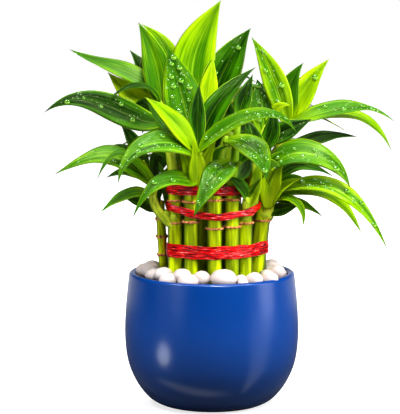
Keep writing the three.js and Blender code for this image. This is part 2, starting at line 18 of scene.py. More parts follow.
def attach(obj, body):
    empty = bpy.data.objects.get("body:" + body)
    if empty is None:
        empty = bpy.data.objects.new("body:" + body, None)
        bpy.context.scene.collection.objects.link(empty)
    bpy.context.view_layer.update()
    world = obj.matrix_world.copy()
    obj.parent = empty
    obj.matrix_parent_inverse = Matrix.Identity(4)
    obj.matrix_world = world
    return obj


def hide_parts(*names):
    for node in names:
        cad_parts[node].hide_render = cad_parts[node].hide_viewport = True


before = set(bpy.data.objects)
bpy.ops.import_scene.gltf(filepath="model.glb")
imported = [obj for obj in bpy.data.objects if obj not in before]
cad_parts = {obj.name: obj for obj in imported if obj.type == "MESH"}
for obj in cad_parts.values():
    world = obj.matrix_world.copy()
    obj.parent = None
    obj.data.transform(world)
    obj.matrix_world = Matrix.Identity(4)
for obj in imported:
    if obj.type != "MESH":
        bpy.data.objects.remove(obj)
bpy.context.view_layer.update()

Pair = tuple[float, float]
Triple = tuple[float, float, float]

LOG = logging.getLogger("lucky_bamboo")
MM = 0.001
BODY = "root"
UP = Vector((0, 0, 1))
BACKWARDS = Vector((0, 1, 0))
EVEN = (1.0, 1.0, 1.0)

# Driving sizes in mm, the same as the solids' own
POT_WALL = 5.6
POT_FLOOR = 8.0
RIM_HEIGHT = 114.0
LIP_OUTER = 71.3
LIP_INNER = 65.2
LIP_HEIGHT = 2.4
SOIL_TOP = 99.0
GRAVEL_TOP = 108.5
GRAVEL_CROWN = 114.0
CROWN_REACH = 44.0
RIM_BAND = 6.0
PEBBLE_LIMIT = LIP_INNER - 1.2
CANE_RADIUS = 6.3
CANE_FOOT = 45.0
CANE_SPAN = 190.0
OUTER_CANE_TOP = 198.0
INNER_CANE_TOP = 236.0
LOW_RING = 160.0
HIGH_RING = 181.0
LEAF_THICKNESS = 1.15
FOLD = 0.3
POT_PROFILE = (
    (39, 0), (46.5, 0.9), (55.5, 6.5), (64.5, 18), (71, 32), (74, 46), (75, 63),
    (74.2, 82), (72.8, 98), (71.6, 109),
)


class Look(Enum):
    """The way a leaf's upper side looks."""

    FRONT = (0, -0.97, 0.25)
    SKY = (0, -0.65, 0.76)
    TOP = (0, -0.3, 0.95)
    LEFT = (-0.35, -0.75, 0.55)
    RIGHT = (0.35, -0.75, 0.55)


class Tone(Enum):
    """How light a leaf is, from the oldest dark green to a young yellow-green."""

    DARK = 0.0
    MID = 0.26
    LIGHT = 0.50
    FRESH = 0.72
    BRIGHT = 1.0


@dataclass(frozen=True)
class Blade:
    """A leaf that shows from the front.

    points are (pixel x, pixel y, depth in mm) from root to tip in the 400 by 414 picture, width
    is in mm, and drops is how many water drops lie on it.
    """

    points: tuple[Triple, ...]
    width: float
    look: Look = Look.FRONT
    tone: Tone = Tone.DARK
    look_end: Look | None = None
    fold: float = FOLD
    drops: int = 0


@dataclass(frozen=True)
class Stem:
    """A shoot that shows from the front.

    points are in the picture, radii are at its two ends, and pale is how much lighter it is than
    its cane, or darker below 0.
    """

    points: tuple[Triple, ...]
    radii: Pair
    pale: float = 0.0


@dataclass(frozen=True)
class Hidden:
    """A shoot drawn by the rule: its seed, compass lean, height, lean, leaves and leaf size."""

    seed: int
    toward: float
    rise: float
    lean: float
    leaves: int
    size: float = 1.0


@dataclass(frozen=True)
class Cane:
    """A cane by its foot at the soil, its top, its node rings, radius and lean in mm per mm."""

    x: float
    y: float
    top: float
    rings: tuple[float, ...]
    radius: float = CANE_RADIUS
    lean: Pair = (0.0, 0.0)

    def axis(self, height: float) -> Vector:
        """Returns the point of the cane's axis at a height."""
        climb = height - SOIL_TOP
        return Vector((self.x + self.lean[0] * climb, self.y + self.lean[1] * climb, height))


OUTER_RINGS = (LOW_RING, HIGH_RING)
INNER_RINGS = (178.0, 226.0)
# How light canes are: the keys to the lowest tone and its span. The back canes, and still more the inner
# ones, are painted darker as the shade between the canes; within a group the tone differs at random.
CANE_TONES_WITH_PAINTED_SHADE = {"abcdefgh": (0.55, 0.4), "ijkmnop": (0.3, 0.3), "qrst": (0.1, 0.15)}

CANES = {
    "a": Cane(-40.4, -2, 176, (129, 144.6, 160), 3.9, (-0.055, 0)),
    "b": Cane(-31, -27, 186, (LOW_RING, 179)),
    "c": Cane(-17.3, -37.2, OUTER_CANE_TOP, (LOW_RING + 2, 179)),
    "e": Cane(2.1, -41, OUTER_CANE_TOP, (LOW_RING - 3, HIGH_RING)),
    "f": Cane(16.7, -37.5, OUTER_CANE_TOP, (LOW_RING - 2, HIGH_RING)),
    "g": Cane(27.8, -28.5, 176, (LOW_RING,)),
    "h": Cane(36, -10.6, 176, (LOW_RING,), 6.8, (0.115, 0)),
    "i": Cane(41, 9, OUTER_CANE_TOP, OUTER_RINGS),
    "j": Cane(34, 26.5, OUTER_CANE_TOP, OUTER_RINGS),
    "k": Cane(20, 39, OUTER_CANE_TOP, OUTER_RINGS),
    "m": Cane(3, 45, OUTER_CANE_TOP, OUTER_RINGS),
    "n": Cane(-15.5, 36.5, OUTER_CANE_TOP, OUTER_RINGS),
    "o": Cane(-27, 25, OUTER_CANE_TOP, OUTER_RINGS),
    "p": Cane(-29, 7, OUTER_CANE_TOP, OUTER_RINGS),
    "d": Cane(-6.8, -18.8, INNER_CANE_TOP, INNER_RINGS),
    "q": Cane(13, -14, INNER_CANE_TOP, INNER_RINGS),
    "r": Cane(17, 10, INNER_CANE_TOP, INNER_RINGS),
    "s": Cane(-3, 16, INNER_CANE_TOP, INNER_RINGS),
    "t": Cane(-17, -2, INNER_CANE_TOP, INNER_RINGS),
}

STEMS = {
    "a": (Stem(((159, 214, -3), (156, 196, -3), (150, 178, -1), (143, 160, 1)), (3.8, 2.6)),),
    "b": (
        Stem(((176, 205, -27), (174, 180, -26), (168, 140, -18), (160, 100, -8)), (5.8, 3)),
        Stem(((176, 227, -27), (160, 213, -31.5), (153, 198, -32), (157, 183, -33)), (4.6, 3.4)),
    ),
    # The shoot of c is paler than its cane: partly its own pale colour, partly painted light where its crown
    # is lit
    "c": (Stem(((193, 196, -36), (197, 186, -37.5), (196, 166, -41), (195, 149, -42)), (5.2, 7.2), 0.7),),
    "d": (Stem(((205, 140, -18), (206, 125, -15), (206, 112, -10), (203, 98, -6)), (5, 3)),),
    "e": (Stem(((215, 196, -41), (216, 178, -38), (221, 155, -35), (227, 136, -34)), (4.8, 3), -0.5),),
    "f": (Stem(((231, 196, -37), (233, 176, -34), (236, 145, -30), (238, 112, -26)), (4.4, 2.6), -0.6),),
    "g": (
        Stem(((247, 214, -28), (254, 196, -25), (257, 165, -20), (268, 120, -8)), (5, 3), 0.4),
        Stem(((247, 217, -31), (246, 210, -35.5), (246, 203, -38), (248, 197, -39)), (4.2, 3), 0.3),
    ),
    "h": (Stem(((265, 216, -10), (271, 192, -13), (276, 158, -10), (292, 118, -3)), (7.2, 3.4), 0.5),),
    "q": (Stem(((226, 137, -14), (228, 126, -13), (229, 117, -12)), (5, 3), -0.3),),
}

BUDS = {
    "b": (((174, 217, -30), (9, 9, 10)), ((165, 214, -30), (9, 9, 8))),
    "g": (((245.5, 217, -31.5), (9.5, 10, 10)),),
    "h": (((264.5, 214, -13), (11, 11, 10)),),
}

HIDDEN = {
    "i": Hidden(175, 120, 12, 6, 2, 0.6),
    "j": Hidden(66, 124, 48, 18, 4, 0.92),
    "k": Hidden(36, 155, 24, 14, 4),
    "m": Hidden(2, 180, 50, 18, 4),
    "n": Hidden(22, 205, 26, 14, 4),
    "o": Hidden(25, 228, 52, 18, 4),
    "p": Hidden(127, 235, 10, 2, 2, 0.7),
    "r": Hidden(22, 125, 22, 8, 4, 0.9),
    "s": Hidden(44, 177, 34, 8, 4, 0.8),
    "t": Hidden(1, 250, 12, 2, 2, 0.6),
}

# How a hidden shoot and its leaves are drawn: angles in degrees, lengths in mm, the rest shares
HIDDEN_RADII = (5.0, 3.0)
FAN_SPREAD = 120.0
FAN_SCATTER = 16.0
SHOOT_FOOT = 4.0
SHOOT_ARCH = 0.06
ROOT_SHARE = 0.8
ROOT_STEP = 0.17
VIA_REACH = 0.45
VIA_CLIMB = 0.75
TIP_DROP = 0.25
LEAF_REACH = (58.0, 84.0)
LEAF_BREADTH = (15.0, 22.0)
STEEP_LEAF = (0.5, 0.75)
FLAT_LEAF = (0.1, 0.35)

BLADES = {
    "a": (
        Blade(((157, 212, -6), (139, 202, -12), (118, 194, -16)), 14, Look.SKY),
        Blade(((146, 166, 1), (120, 150, 6), (88, 160, 10)), 12, Look.SKY),
        Blade(((150, 178, -1), (134, 142, 3), (121, 126, 6)), 12),
        Blade(((152, 186, -2), (131, 172, -4), (106, 178, -4)), 13, Look.SKY),
    ),
    "b": (
        Blade(((160, 104, -9), (139, 79, -5), (106, 64.5, 0), (69, 49, 4)), 19, Look.SKY, Tone.MID),
        Blade(((163, 122, -14), (128, 115, -20), (88, 100, -24), (43.7, 113, -24)), 22, drops=40),
        Blade(((161, 106, -7), (134, 95, -1), (107.5, 72, 3)), 22, Look.FRONT, Tone.BRIGHT),
        Blade(((160, 103, -10), (146, 87, -16), (126, 88, -22), (108, 102, -26)), 7, Look.SKY),
        Blade(((163, 114, -10), (155.5, 64, -8), (138, 22, -12)), 23, Look.FRONT, Tone.MID, fold=0.4),
        Blade(((161, 107, -8), (168, 58, 6), (141, 24, 5)), 20, Look.FRONT, Tone.LIGHT, fold=0.4),
        Blade(
            ((157, 186, -33), (124, 162, -38), (95, 157, -42), (53.6, 175, -44)),
            23, Look.SKY, Tone.MID, drops=10,
        ),
        Blade(((155, 190, -33), (122, 154, -46), (96.7, 181, -54)), 8, Look.SKY, Tone.MID),
        Blade(((154, 194, -33), (127, 195, -50), (100, 213, -62)), 12, Look.SKY, Tone.MID),
        Blade(((162, 120, -12), (146, 106, -8), (127, 114, -6)), 14),
        Blade(((165, 134, -16), (151, 122, -12), (142, 134, -10)), 13),
        Blade(((169, 158, -22), (146, 142, -20), (124, 154, -20)), 13),
        Blade(((160, 103, -7), (147, 74, 5), (129.5, 50, 10)), 15),
        Blade(((166, 150, -21), (158, 162, -18), (153, 181, -11)), 15),
        Blade(((170, 166, -23), (160.5, 187, -14), (159.5, 205, -12)), 7),
    ),
    "c": (
        Blade(
            ((196, 154, -44), (169, 143, -58), (137, 150.5, -68), (118, 184, -76)),
            23, Look.LEFT, Tone.MID, drops=45,
        ),
        Blade(
            ((196, 182, -39), (180, 180, -52), (157, 184.5, -66), (132, 219.5, -74)),
            19, Look.LEFT, Tone.MID, drops=10,
        ),
        Blade(((195, 152, -43), (173, 122, -54), (144, 96.5, -60)), 20, Look.RIGHT, Tone.FRESH),
        Blade(((193, 150, -41), (168, 128, -40), (146, 101, -38)), 12),
        Blade(((193, 148, -41), (181, 92, -32), (167.5, 46.6, -32)), 31, Look.FRONT, Tone.MID, drops=95),
        Blade(((198, 150, -42), (197, 114, -39), (199.5, 83.4, -37)), 14, fold=0.5),
        Blade(((200, 150, -41), (217, 105, -36), (256, 67, -34)), 19),
        Blade(
            ((198, 154, -45), (221, 131, -60), (262, 114, -72), (297, 134, -78)),
            18, Look.SKY, Tone.MID, drops=40,
        ),
    ),
    "d": (
        Blade(((204, 112, -10), (192, 72, -2), (203, 33, 0), (221, 0, -4)), 35, Look.FRONT, Tone.LIGHT),
        Blade(((206, 116, -13), (209, 86, -14), (213.5, 56.6, -15)), 15, Look.FRONT, Tone.BRIGHT),
        Blade(((206, 118, -12), (226, 67, -4), (251, 28, -4)), 29, drops=12),
    ),
    "e": (
        Blade(((226, 140, -35), (255, 152, -59), (266.5, 181.6, -66)), 26, Look.RIGHT, Tone.MID, drops=45),
        Blade(((218, 172, -37), (216, 154, -40), (229, 146, -42)), 7, Look.FRONT, Tone.MID),
        Blade(((217, 176, -37), (210, 152, -34), (214, 134, -30)), 11),
    ),
    "f": (
        Blade(((238, 116, -27), (244, 97, -25), (253, 74, -23)), 14),
        Blade(((235, 166, -32), (246, 146, -28), (249, 124, -26)), 12),
        Blade(((235, 180, -33), (246, 168, -23), (248, 152, -18)), 11),
        Blade(
            ((236, 162, -35), (224, 169, -52), (209, 188, -64), (193.4, 217.5, -70)),
            26, Look.LEFT, Tone.MID, drops=50,
        ),
    ),
    "g": (
        Blade(((247, 200, -38), (240, 186, -46), (226, 177, -52)), 13, Look.RIGHT),
        Blade(((247, 199, -38), (253, 188, -40), (262, 178, -42)), 6, Look.FRONT, Tone.LIGHT),
        Blade(((264, 136, -12), (262, 104, -8), (257, 79, -2)), 22, Look.SKY, Tone.MID, drops=35),
        Blade(((258, 162, -19), (254, 138, -19), (243, 116, -18)), 14),
        Blade(((260, 152, -17), (272, 130, -18), (270, 104, -18)), 14),
        Blade(((256, 178, -22), (268, 164, -33), (281, 168, -42)), 9, Look.FRONT, Tone.MID),
        Blade(((257, 172, -22), (265, 160, -24), (272, 142, -24)), 8),
        Blade(((266, 126, -10), (277, 108, -14), (291, 106, -20)), 8, Look.FRONT, Tone.BRIGHT),
        Blade(((262, 142, -13), (287, 130, -19), (312, 119, -25)), 17, drops=6),
    ),
    "h": (
        Blade(
            ((271, 195, -15), (285, 157, -30), (322, 157.5, -38), (350, 188, -48)),
            26, Look.TOP, Tone.MID, look_end=Look.FRONT, drops=60,
        ),
        Blade(((277, 156, -9), (306, 143, 4), (331, 136, 10), (357.5, 137, 14)), 15, Look.SKY),
        Blade(((290, 124, -4), (288, 92, -8), (303.6, 62.5, -10)), 19, Look.FRONT, Tone.MID),
        Blade(((290, 122, -3), (284, 94, 4), (298, 66, 8)), 16),
        Blade(((291, 122, -3), (305, 89, -3), (329.5, 58.7, -6)), 20, Look.FRONT, Tone.FRESH, drops=10),
        Blade(((288, 126, -5), (273, 78, -14), (251.4, 37, -16)), 20, Look.FRONT, Tone.LIGHT, drops=30),
        Blade(
            ((291, 121, -4), (325, 112.5, -13), (360, 107.5, -8), (395, 122, -6)),
            21, Look.SKY, Tone.MID, look_end=Look.TOP, drops=30,
        ),
        Blade(
            ((290, 124, -3), (335, 113.5, 6), (369, 121.5, 10), (392, 152, 14)),
            13, Look.SKY, Tone.LIGHT,
        ),
        Blade(
            ((270, 197, -14), (311, 185, -30), (351.5, 199, -42), (388, 250.5, -46)),
            22, Look.TOP, Tone.LIGHT, look_end=Look.RIGHT, drops=60,
        ),
        Blade(
            ((270, 196, -12), (318, 191, -18), (345, 207, -20), (362, 234, -22)),
            13, Look.RIGHT, Tone.LIGHT,
        ),
        Blade(((270, 200, -13), (298, 203, -24), (323, 217, -32)), 10, Look.SKY, Tone.MID),
        Blade(
            ((268, 205, -13), (287, 198, -28), (301, 208, -36), (302, 228, -40)),
            8, Look.SKY, Tone.LIGHT,
        ),
        Blade(((267, 212, -12), (284, 208.5, -22), (300, 203.5, -28)), 11),
        Blade(((272, 192, -12), (287, 179, -14), (311, 181, -16)), 10, Look.SKY, Tone.MID),
        Blade(((273, 184, -12), (299, 166, -4), (334, 177, 0)), 13, Look.SKY),
    ),
    "q": (
        Blade(((228, 124, -13), (227, 110, -15), (232, 99, -15)), 13),
        Blade(((229, 127, -13), (243, 125, -11), (256, 117, -9)), 14),
        Blade(((226, 133, -14), (219, 139, -17), (214.5, 152, -19)), 9),
    ),
}

# Pale sheaths that clasp the roots of four crowns. Those of c are partly their own pale colour and partly
# painted light where that crown is lit.
SHEATHS = {
    "b": (Blade(((171, 216, -28), (168, 190, -27), (158, 160, -24)), 10, Look.FRONT, Tone.MID),),
    "c": (
        Blade(((192, 197, -38), (190, 172, -43), (177, 144, -53)), 12, Look.LEFT, Tone.BRIGHT),
        Blade(((199, 197, -38), (203, 168, -43), (218, 134, -54)), 13, Look.RIGHT, Tone.BRIGHT),
        Blade(((196, 190, -42), (197, 166, -48), (193, 138, -54)), 14, Look.SKY, Tone.BRIGHT, fold=0.15),
    ),
    "g": (Blade(((250, 206, -30), (256, 182, -29), (262, 150, -24)), 10, Look.FRONT, Tone.FRESH),),
    "h": (
        Blade(((268, 209, -19), (272, 182, -26), (284, 163, -32)), 17, Look.FRONT, Tone.BRIGHT),
        Blade(((267, 206, -17), (269, 172, -22), (286, 150, -27)), 21, Look.FRONT, Tone.MID),
        Blade(((271, 207, -18), (281, 189, -27), (303, 177, -34)), 12, Look.SKY, Tone.FRESH),
    ),
}


# Shared geometry


@dataclass(frozen=True)
class Picture:
    """The picture's own frame: where a pixel at a depth lies on the object, in mm."""

    centre_x: float = 200.0
    centre_y: float = 207.0
    focal: float = 1745.5
    distance: float = 1500.0
    tilt: float = math.radians(7)
    target: Triple = (-10.1, 0.0, 169.8)

    def seen(self, spot: Sequence[float]) -> Vector:
        """Finds the point that shows at a pixel.

        Args:
            spot: pixel x, pixel y and depth (the point's Y in mm).

        Returns:
            The point in mm.
        """
        across = (spot[0] - self.centre_x) / self.focal
        rise = (self.centre_y - spot[1]) / self.focal
        cos, sin = math.cos(self.tilt), math.sin(self.tilt)
        reach = (spot[2] + self.distance * cos) / (cos + rise * sin)
        return Vector((
            self.target[0] + across * reach,
            spot[2],
            self.target[2] + self.distance * sin + (rise * cos - sin) * reach,
        ))

    def camera(self) -> None:
        """Makes the camera that sees the object as the picture does."""
        data = bpy.data.cameras.new("photo_camera")
        data.sensor_width = 36.0
        data.lens = self.focal * data.sensor_width / (2 * self.centre_y)
        data.clip_end = 20.0
        camera = bpy.data.objects.new("photo_camera", data)
        away = Vector((0, -math.cos(self.tilt), math.sin(self.tilt))) * self.distance
        camera.location = (Vector(self.target) + away) * MM
        camera.rotation_euler = (math.radians(90) - self.tilt, 0, 0)
        bpy.context.collection.objects.link(camera)
        bpy.context.scene.camera = camera


PICTURE = Picture()

# The draw's own numbers: the mask of a 32-bit word and the step from draw to draw
WORD = 0xFFFFFFFF
DRAW_STEP = 0x6D2B79F5


class Draws:
    """A repeatable draw of numbers from 0 to 1, the same as the solids use."""

    def __init__(self, seed: int) -> None:
        """Starts the draw from a seed."""
        self.state = seed & WORD

    def __call__(self) -> float:
        """Draws the next number.

        Returns:
            A number from 0 to 1.
        """
        self.state = (self.state + DRAW_STEP) & WORD
        first = self.state ^ (self.state >> 15)
        mixed = (first * (1 | self.state)) & WORD
        second = mixed ^ (mixed >> 7)
        mixed = ((mixed + ((second * (61 | mixed)) & WORD)) & WORD) ^ mixed
        return ((mixed ^ (mixed >> 14)) & WORD) / (WORD + 1)

    def between(self, limits: Pair) -> float:
        """Returns a number between two limits."""
        return limits[0] + (limits[1] - limits[0]) * self()


def along(points: Sequence[Vector], t: float) -> Vector:
    """Finds a point on the smooth path through evenly shared points.

    Args:
        points: the points.
        t: how far along, from 0 to 1.

    Returns:
        The point.
    """
    last = len(points) - 1
    result = Vector((0, 0, 0))
    for i, point in enumerate(points):
        weight = 1.0
        for j in range(last + 1):
            if j != i:
                weight *= (t * last - j) / (i - j)
        result += point * weight
    return result


def heading(points: Sequence[Vector], t: float) -> Vector:
    """Returns the unit direction of a path at t."""
    step = 1e-3
    return (along(points, t + step) - along(points, t - step)).normalized()


def compass(degrees: float) -> Vector:
    """Returns the level direction at a compass angle: 0 is the front, 90 the right."""
    angle = math.radians(degrees)
    return Vector((math.sin(angle), -math.cos(angle), 0))


def turns(count: int) -> list[float]:
    """Returns angles in radians, shared evenly round a full turn."""
    return [2 * math.pi * k / count for k in range(count)]


@dataclass
class Skin:
    """Collects points and faces in mm, and makes them one mesh object.

    place holds three numbers for each point, which the materials read: for a leaf how far
    across and along it lies and its tone, for a stem its turn, its height and its tone, and for
    water 1 in a fine bead and two zeros.
    """

    points: list[Vector] = field(default_factory=list)
    places: list[Triple] = field(default_factory=list)
    faces: list[tuple[int, ...]] = field(default_factory=list)
    slots: list[int] = field(default_factory=list)

    def add_rings(
        self,
        rings: Sequence[Sequence[Vector]],
        places: Sequence[Sequence[Triple]],
        slot_of: Callable[[int], int] = lambda column: 0,
        loop: bool = False,
    ) -> None:
        """Adds a closed skin over rings of points.

        Args:
            rings: rings of as many points each, or of one point at a closed tip.
            places: the place values of each point.
            slot_of: gives a column's material slot.
            loop: joins the last ring to the first.
        """
        starts = []
        for ring, values in zip(rings, places):
            starts.append(len(self.points))
            self.points.extend(ring)
            self.places.extend(values)
        spans = len(rings) if loop else len(rings) - 1
        for i in range(spans):
            following = (i + 1) % len(rings)
            count = max(len(rings[i]), len(rings[following]))
            here = 1 if len(rings[i]) > 1 else 0
            there = 1 if len(rings[following]) > 1 else 0
            for k in range(count):
                after = (k + 1) % count
                corners = (
                    starts[i] + k * here, starts[i] + after * here,
                    starts[following] + after * there, starts[following] + k * there,
                )
                self.faces.append(tuple(dict.fromkeys(corners)))
                self.slots.append(slot_of(k))
        if not loop:
            if len(rings[0]) > 1:
                self.faces.append(tuple(range(starts[0] + len(rings[0]) - 1, starts[0] - 1, -1)))
                self.slots.append(slot_of(0))
            if len(rings[-1]) > 1:
                self.faces.append(tuple(range(starts[-1], starts[-1] + len(rings[-1]))))
                self.slots.append(slot_of(0))

    def make(self, name: str, materials: Sequence[Material]) -> Object:
        """Makes the mesh object in metres, shaded smooth.

        Args:
            name: the piece's name.
            materials: one material for each slot.

        Returns:
            The new object.
        """
        mesh = bpy.data.meshes.new(name)
        mesh.from_pydata([point * MM for point in self.points], [], self.faces)
        for material in materials:
            mesh.materials.append(material)
        mesh.polygons.foreach_set("material_index", self.slots)
        mesh.polygons.foreach_set("use_smooth", [True] * len(self.faces))
        values = mesh.attributes.new("place", "FLOAT_VECTOR", "POINT")
        values.data.foreach_set("vector", [number for place in self.places for number in place])
        mesh.validate()
        mesh.update()
        piece = bpy.data.objects.new(name, mesh)
        bpy.context.collection.objects.link(piece)
        return piece


def seat(piece: Object, slot: str, *nodes: str) -> None:
    """Fixes a finished piece to the part.

    Args:
        piece: the piece.
        slot: the record's material slot; not used.
        nodes: the solids that it stands for.
    """
    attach(piece, BODY)
    if nodes:
        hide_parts(*nodes)
    LOG.info("%s: %d faces", piece.name, len(piece.data.polygons))


# Materials


# A colour mix's sockets: its inputs for the amount and both colours, and its result
MIX_INPUTS = (0, 6, 7)
MIX_RESULT = 2


class Bench:
    """Lays nodes in one node tree."""

    def __init__(self, tree: NodeTree) -> None:
        """Keeps the tree that nodes are laid in."""
        self.tree = tree

    def node(self, kind: str, **values: object) -> Node:
        """Adds a node.

        Args:
            kind: its type.
            values: its own settings.

        Returns:
            The node.
        """
        made = self.tree.nodes.new(kind)
        for key, value in values.items():
            setattr(made, key, value)
        return made

    def join(self, source: NodeSocket, target: NodeSocket) -> None:
        """Links one socket to another."""
        self.tree.links.new(source, target)

    def feed(self, target: NodeSocket, value: object) -> None:
        """Links a socket to an input, or sets a number or colour on it.

        Args:
            target: the input.
            value: the socket, number or colour.
        """
        if isinstance(value, NodeSocket):
            self.join(value, target)
        else:
            target.default_value = value

    def mix(self, amount: object, first: object, second: object) -> NodeSocket:
        """Mixes two colours.

        Args:
            amount: 0 for the first colour, 1 for the second.
            first: a colour or its socket.
            second: a colour or its socket.

        Returns:
            The result's socket.
        """
        made = self.node("ShaderNodeMix", data_type="RGBA")
        for index, value in zip(MIX_INPUTS, (amount, first, second)):
            if isinstance(value, tuple) and len(value) == 3:
                value = (*value, 1.0)
            self.feed(made.inputs[index], value)
        return made.outputs[MIX_RESULT]

    def math(self, operation: str, *values: object) -> NodeSocket:
        """Does one sum.

        Args:
            operation: the sum's name.
            values: its numbers or their sockets.

        Returns:
            The result's socket.
        """
        made = self.node("ShaderNodeMath", operation=operation)
        for socket, value in zip(made.inputs, values):
            self.feed(socket, value)
        return made.outputs[0]

    def ramp(self, value: object, low: float, high: float, to: Pair = (0.0, 1.0)) -> NodeSocket:
        """Maps a value from one range to another, smoothly and clamped.

        Args:
            value: the value's socket.
            low: where the range starts; above high where it runs down.
            high: where the range ends.
            to: the results at low and at high.

        Returns:
            The result's socket.
        """
        made = self.node("ShaderNodeMapRange", interpolation_type="SMOOTHSTEP")
        for index, number in enumerate((value, low, high, *to)):
            self.feed(made.inputs[index], number)
        return made.outputs[0]

    def noise(self, vector: object, scale: float, detail: float = 3.0, rough: float = 0.5) -> NodeSocket:
        """Adds a noise texture.

        Args:
            vector: the socket of the place.
            scale: lumps per unit.
            detail: how many finer layers it has.
            rough: how strong the finer layers are.

        Returns:
            The socket of its value.
        """
        made = self.node("ShaderNodeTexNoise")
        for label, value in (("Scale", scale), ("Detail", detail), ("Roughness", rough), ("Vector", vector)):
            self.feed(made.inputs[label], value)
        return made.outputs["Fac"]

    def vector(self, operation: str, first: object, second: object = None) -> Node:
        """Does one sum with vectors.

        Args:
            operation: the sum's name.
            first: a vector or its socket.
            second: the other vector or its socket, where the sum takes two.

        Returns:
            The node.
        """
        made = self.node("ShaderNodeVectorMath", operation=operation)
        self.feed(made.inputs[0], first)
        if second is not None:
            self.feed(made.inputs[1], second)
        return made

    def stretch(self, vector: object, scale: object) -> NodeSocket:
        """Scales a vector along its axes and returns its socket."""
        return self.vector("MULTIPLY", vector, scale).outputs[0]

    def split(self, vector: object) -> tuple[NodeSocket, ...]:
        """Splits a vector.

        Args:
            vector: the vector's socket.

        Returns:
            The sockets of its three numbers.
        """
        made = self.node("ShaderNodeSeparateXYZ")
        self.feed(made.inputs[0], vector)
        return made.outputs[0], made.outputs[1], made.outputs[2]

    def bump(self, height: object, distance: float, strength: float) -> NodeSocket:
        """Adds a bump.

        Args:
            height: the socket of the height.
            distance: how high the relief is, in metres.
            strength: how much of it shows.

        Returns:
            The socket of the bent normal.
        """
        made = self.node("ShaderNodeBump")
        for label, value in (("Distance", distance), ("Strength", strength), ("Height", height)):
            self.feed(made.inputs[label], value)
        return made.outputs[0]

    def place(self) -> NodeSocket:
        """Returns the socket of the place that a skin keeps for each point."""
        return self.node("ShaderNodeAttribute", attribute_name="place").outputs["Vector"]

    def group(self, tree: NodeTree, **values: object) -> Node:
        """Places a shared group.

        Args:
            tree: the group.
            values: input names to their values.

        Returns:
            The group's node.
        """
        made = self.node("ShaderNodeGroup", node_tree=tree)
        for label, value in values.items():
            self.feed(made.inputs[label], value)
        return made


def new_group(
    name: str, inputs: dict[str, str], outputs: dict[str, str]
) -> tuple[NodeTree, Bench, Node, Node]:
    """Starts a shader node group.

    Args:
        name: the group's name.
        inputs: socket name to its type.
        outputs: socket name to its type.

    Returns:
        The group, a bench for it, and its input and output nodes.
    """
    group = bpy.data.node_groups.new(name, "ShaderNodeTree")
    for way, sockets in (("INPUT", inputs), ("OUTPUT", outputs)):
        for label, kind in sockets.items():
            group.interface.new_socket(label, in_out=way, socket_type=kind)
    bench = Bench(group)
    return group, bench, bench.node("NodeGroupInput"), bench.node("NodeGroupOutput")


NUMBER = "NodeSocketFloat"
VECTOR = "NodeSocketVector"


def fibre_group() -> NodeTree:
    """Builds the lengthwise fibre effect that leaves and canes share.

    It takes the place vector, how many fibres run across and along it, and a seed. It puts out
    a mask of soft streaks, a finer mask of veins, and a height of both.

    Returns:
        The group.
    """
    group, bench, given, out = new_group(
        "plant_fibre",
        {"Place": VECTOR, "Across": NUMBER, "Along": NUMBER, "Seed": NUMBER},
        {"Streaks": NUMBER, "Veins": NUMBER, "Height": NUMBER},
    )
    x, y, z = bench.split(given.outputs["Place"])
    wide = bench.node("ShaderNodeCombineXYZ")
    bench.join(bench.math("MULTIPLY", x, given.outputs["Across"]), wide.inputs[0])
    bench.join(bench.math("MULTIPLY", y, given.outputs["Along"]), wide.inputs[1])
    bench.join(bench.math("MULTIPLY_ADD", z, 31.0, given.outputs["Seed"]), wide.inputs[2])
    streaks = bench.ramp(bench.noise(wide.outputs[0], 1.0, 2.0), 0.3, 0.7)
    finer = bench.stretch(wide.outputs[0], (4.5, 1.0, 1.0))
    veins = bench.ramp(bench.noise(finer, 1.0, 2.0), 0.35, 0.65)
    bench.join(streaks, out.inputs["Streaks"])
    bench.join(veins, out.inputs["Veins"])
    soft = bench.math("MULTIPLY", streaks, 0.4)
    bench.join(bench.math("MULTIPLY_ADD", veins, 0.6, soft), out.inputs["Height"])
    return group


def grain_group() -> NodeTree:
    """Builds the fine grain that glaze, stone, soil, ribbon and node rings share.

    It takes a size in grains per metre and a stretch along each axis. It puts out a broad cloud
    mask and a fine height.

    Returns:
        The group.
    """
    group, bench, given, out = new_group(
        "fine_grain", {"Size": NUMBER, "Stretch": VECTOR}, {"Cloud": NUMBER, "Height": NUMBER},
    )
    spot = bench.node("ShaderNodeTexCoord").outputs["Object"]
    scaled = bench.node("ShaderNodeVectorMath", operation="SCALE")
    bench.join(spot, scaled.inputs[0])
    bench.join(given.outputs["Size"], scaled.inputs["Scale"])
    shaped = bench.stretch(scaled.outputs[0], given.outputs["Stretch"])
    bench.join(bench.ramp(bench.noise(shaped, 0.12, 2.0), 0.3, 0.7), out.inputs["Cloud"])
    bench.join(bench.noise(shaped, 1.0, 4.0, 0.6), out.inputs["Height"])
    return group


@dataclass(frozen=True)
class Finish:
    """What every material starts from: its name and the Principled shader's constants."""

    name: str
    constants: tuple[tuple[str, object], ...] = ()

    def start(self) -> tuple[Material, Bench, Node]:
        """Makes the material and sets its shader's constants.

        Returns:
            The material, a bench for it, and its shader.
        """
        material = bpy.data.materials.new(self.name)
        material.use_nodes = True
        bench = Bench(material.node_tree)
        shader = material.node_tree.nodes["Principled BSDF"]
        for socket, value in self.constants:
            shader.inputs[socket].default_value = value
        return material, bench, shader


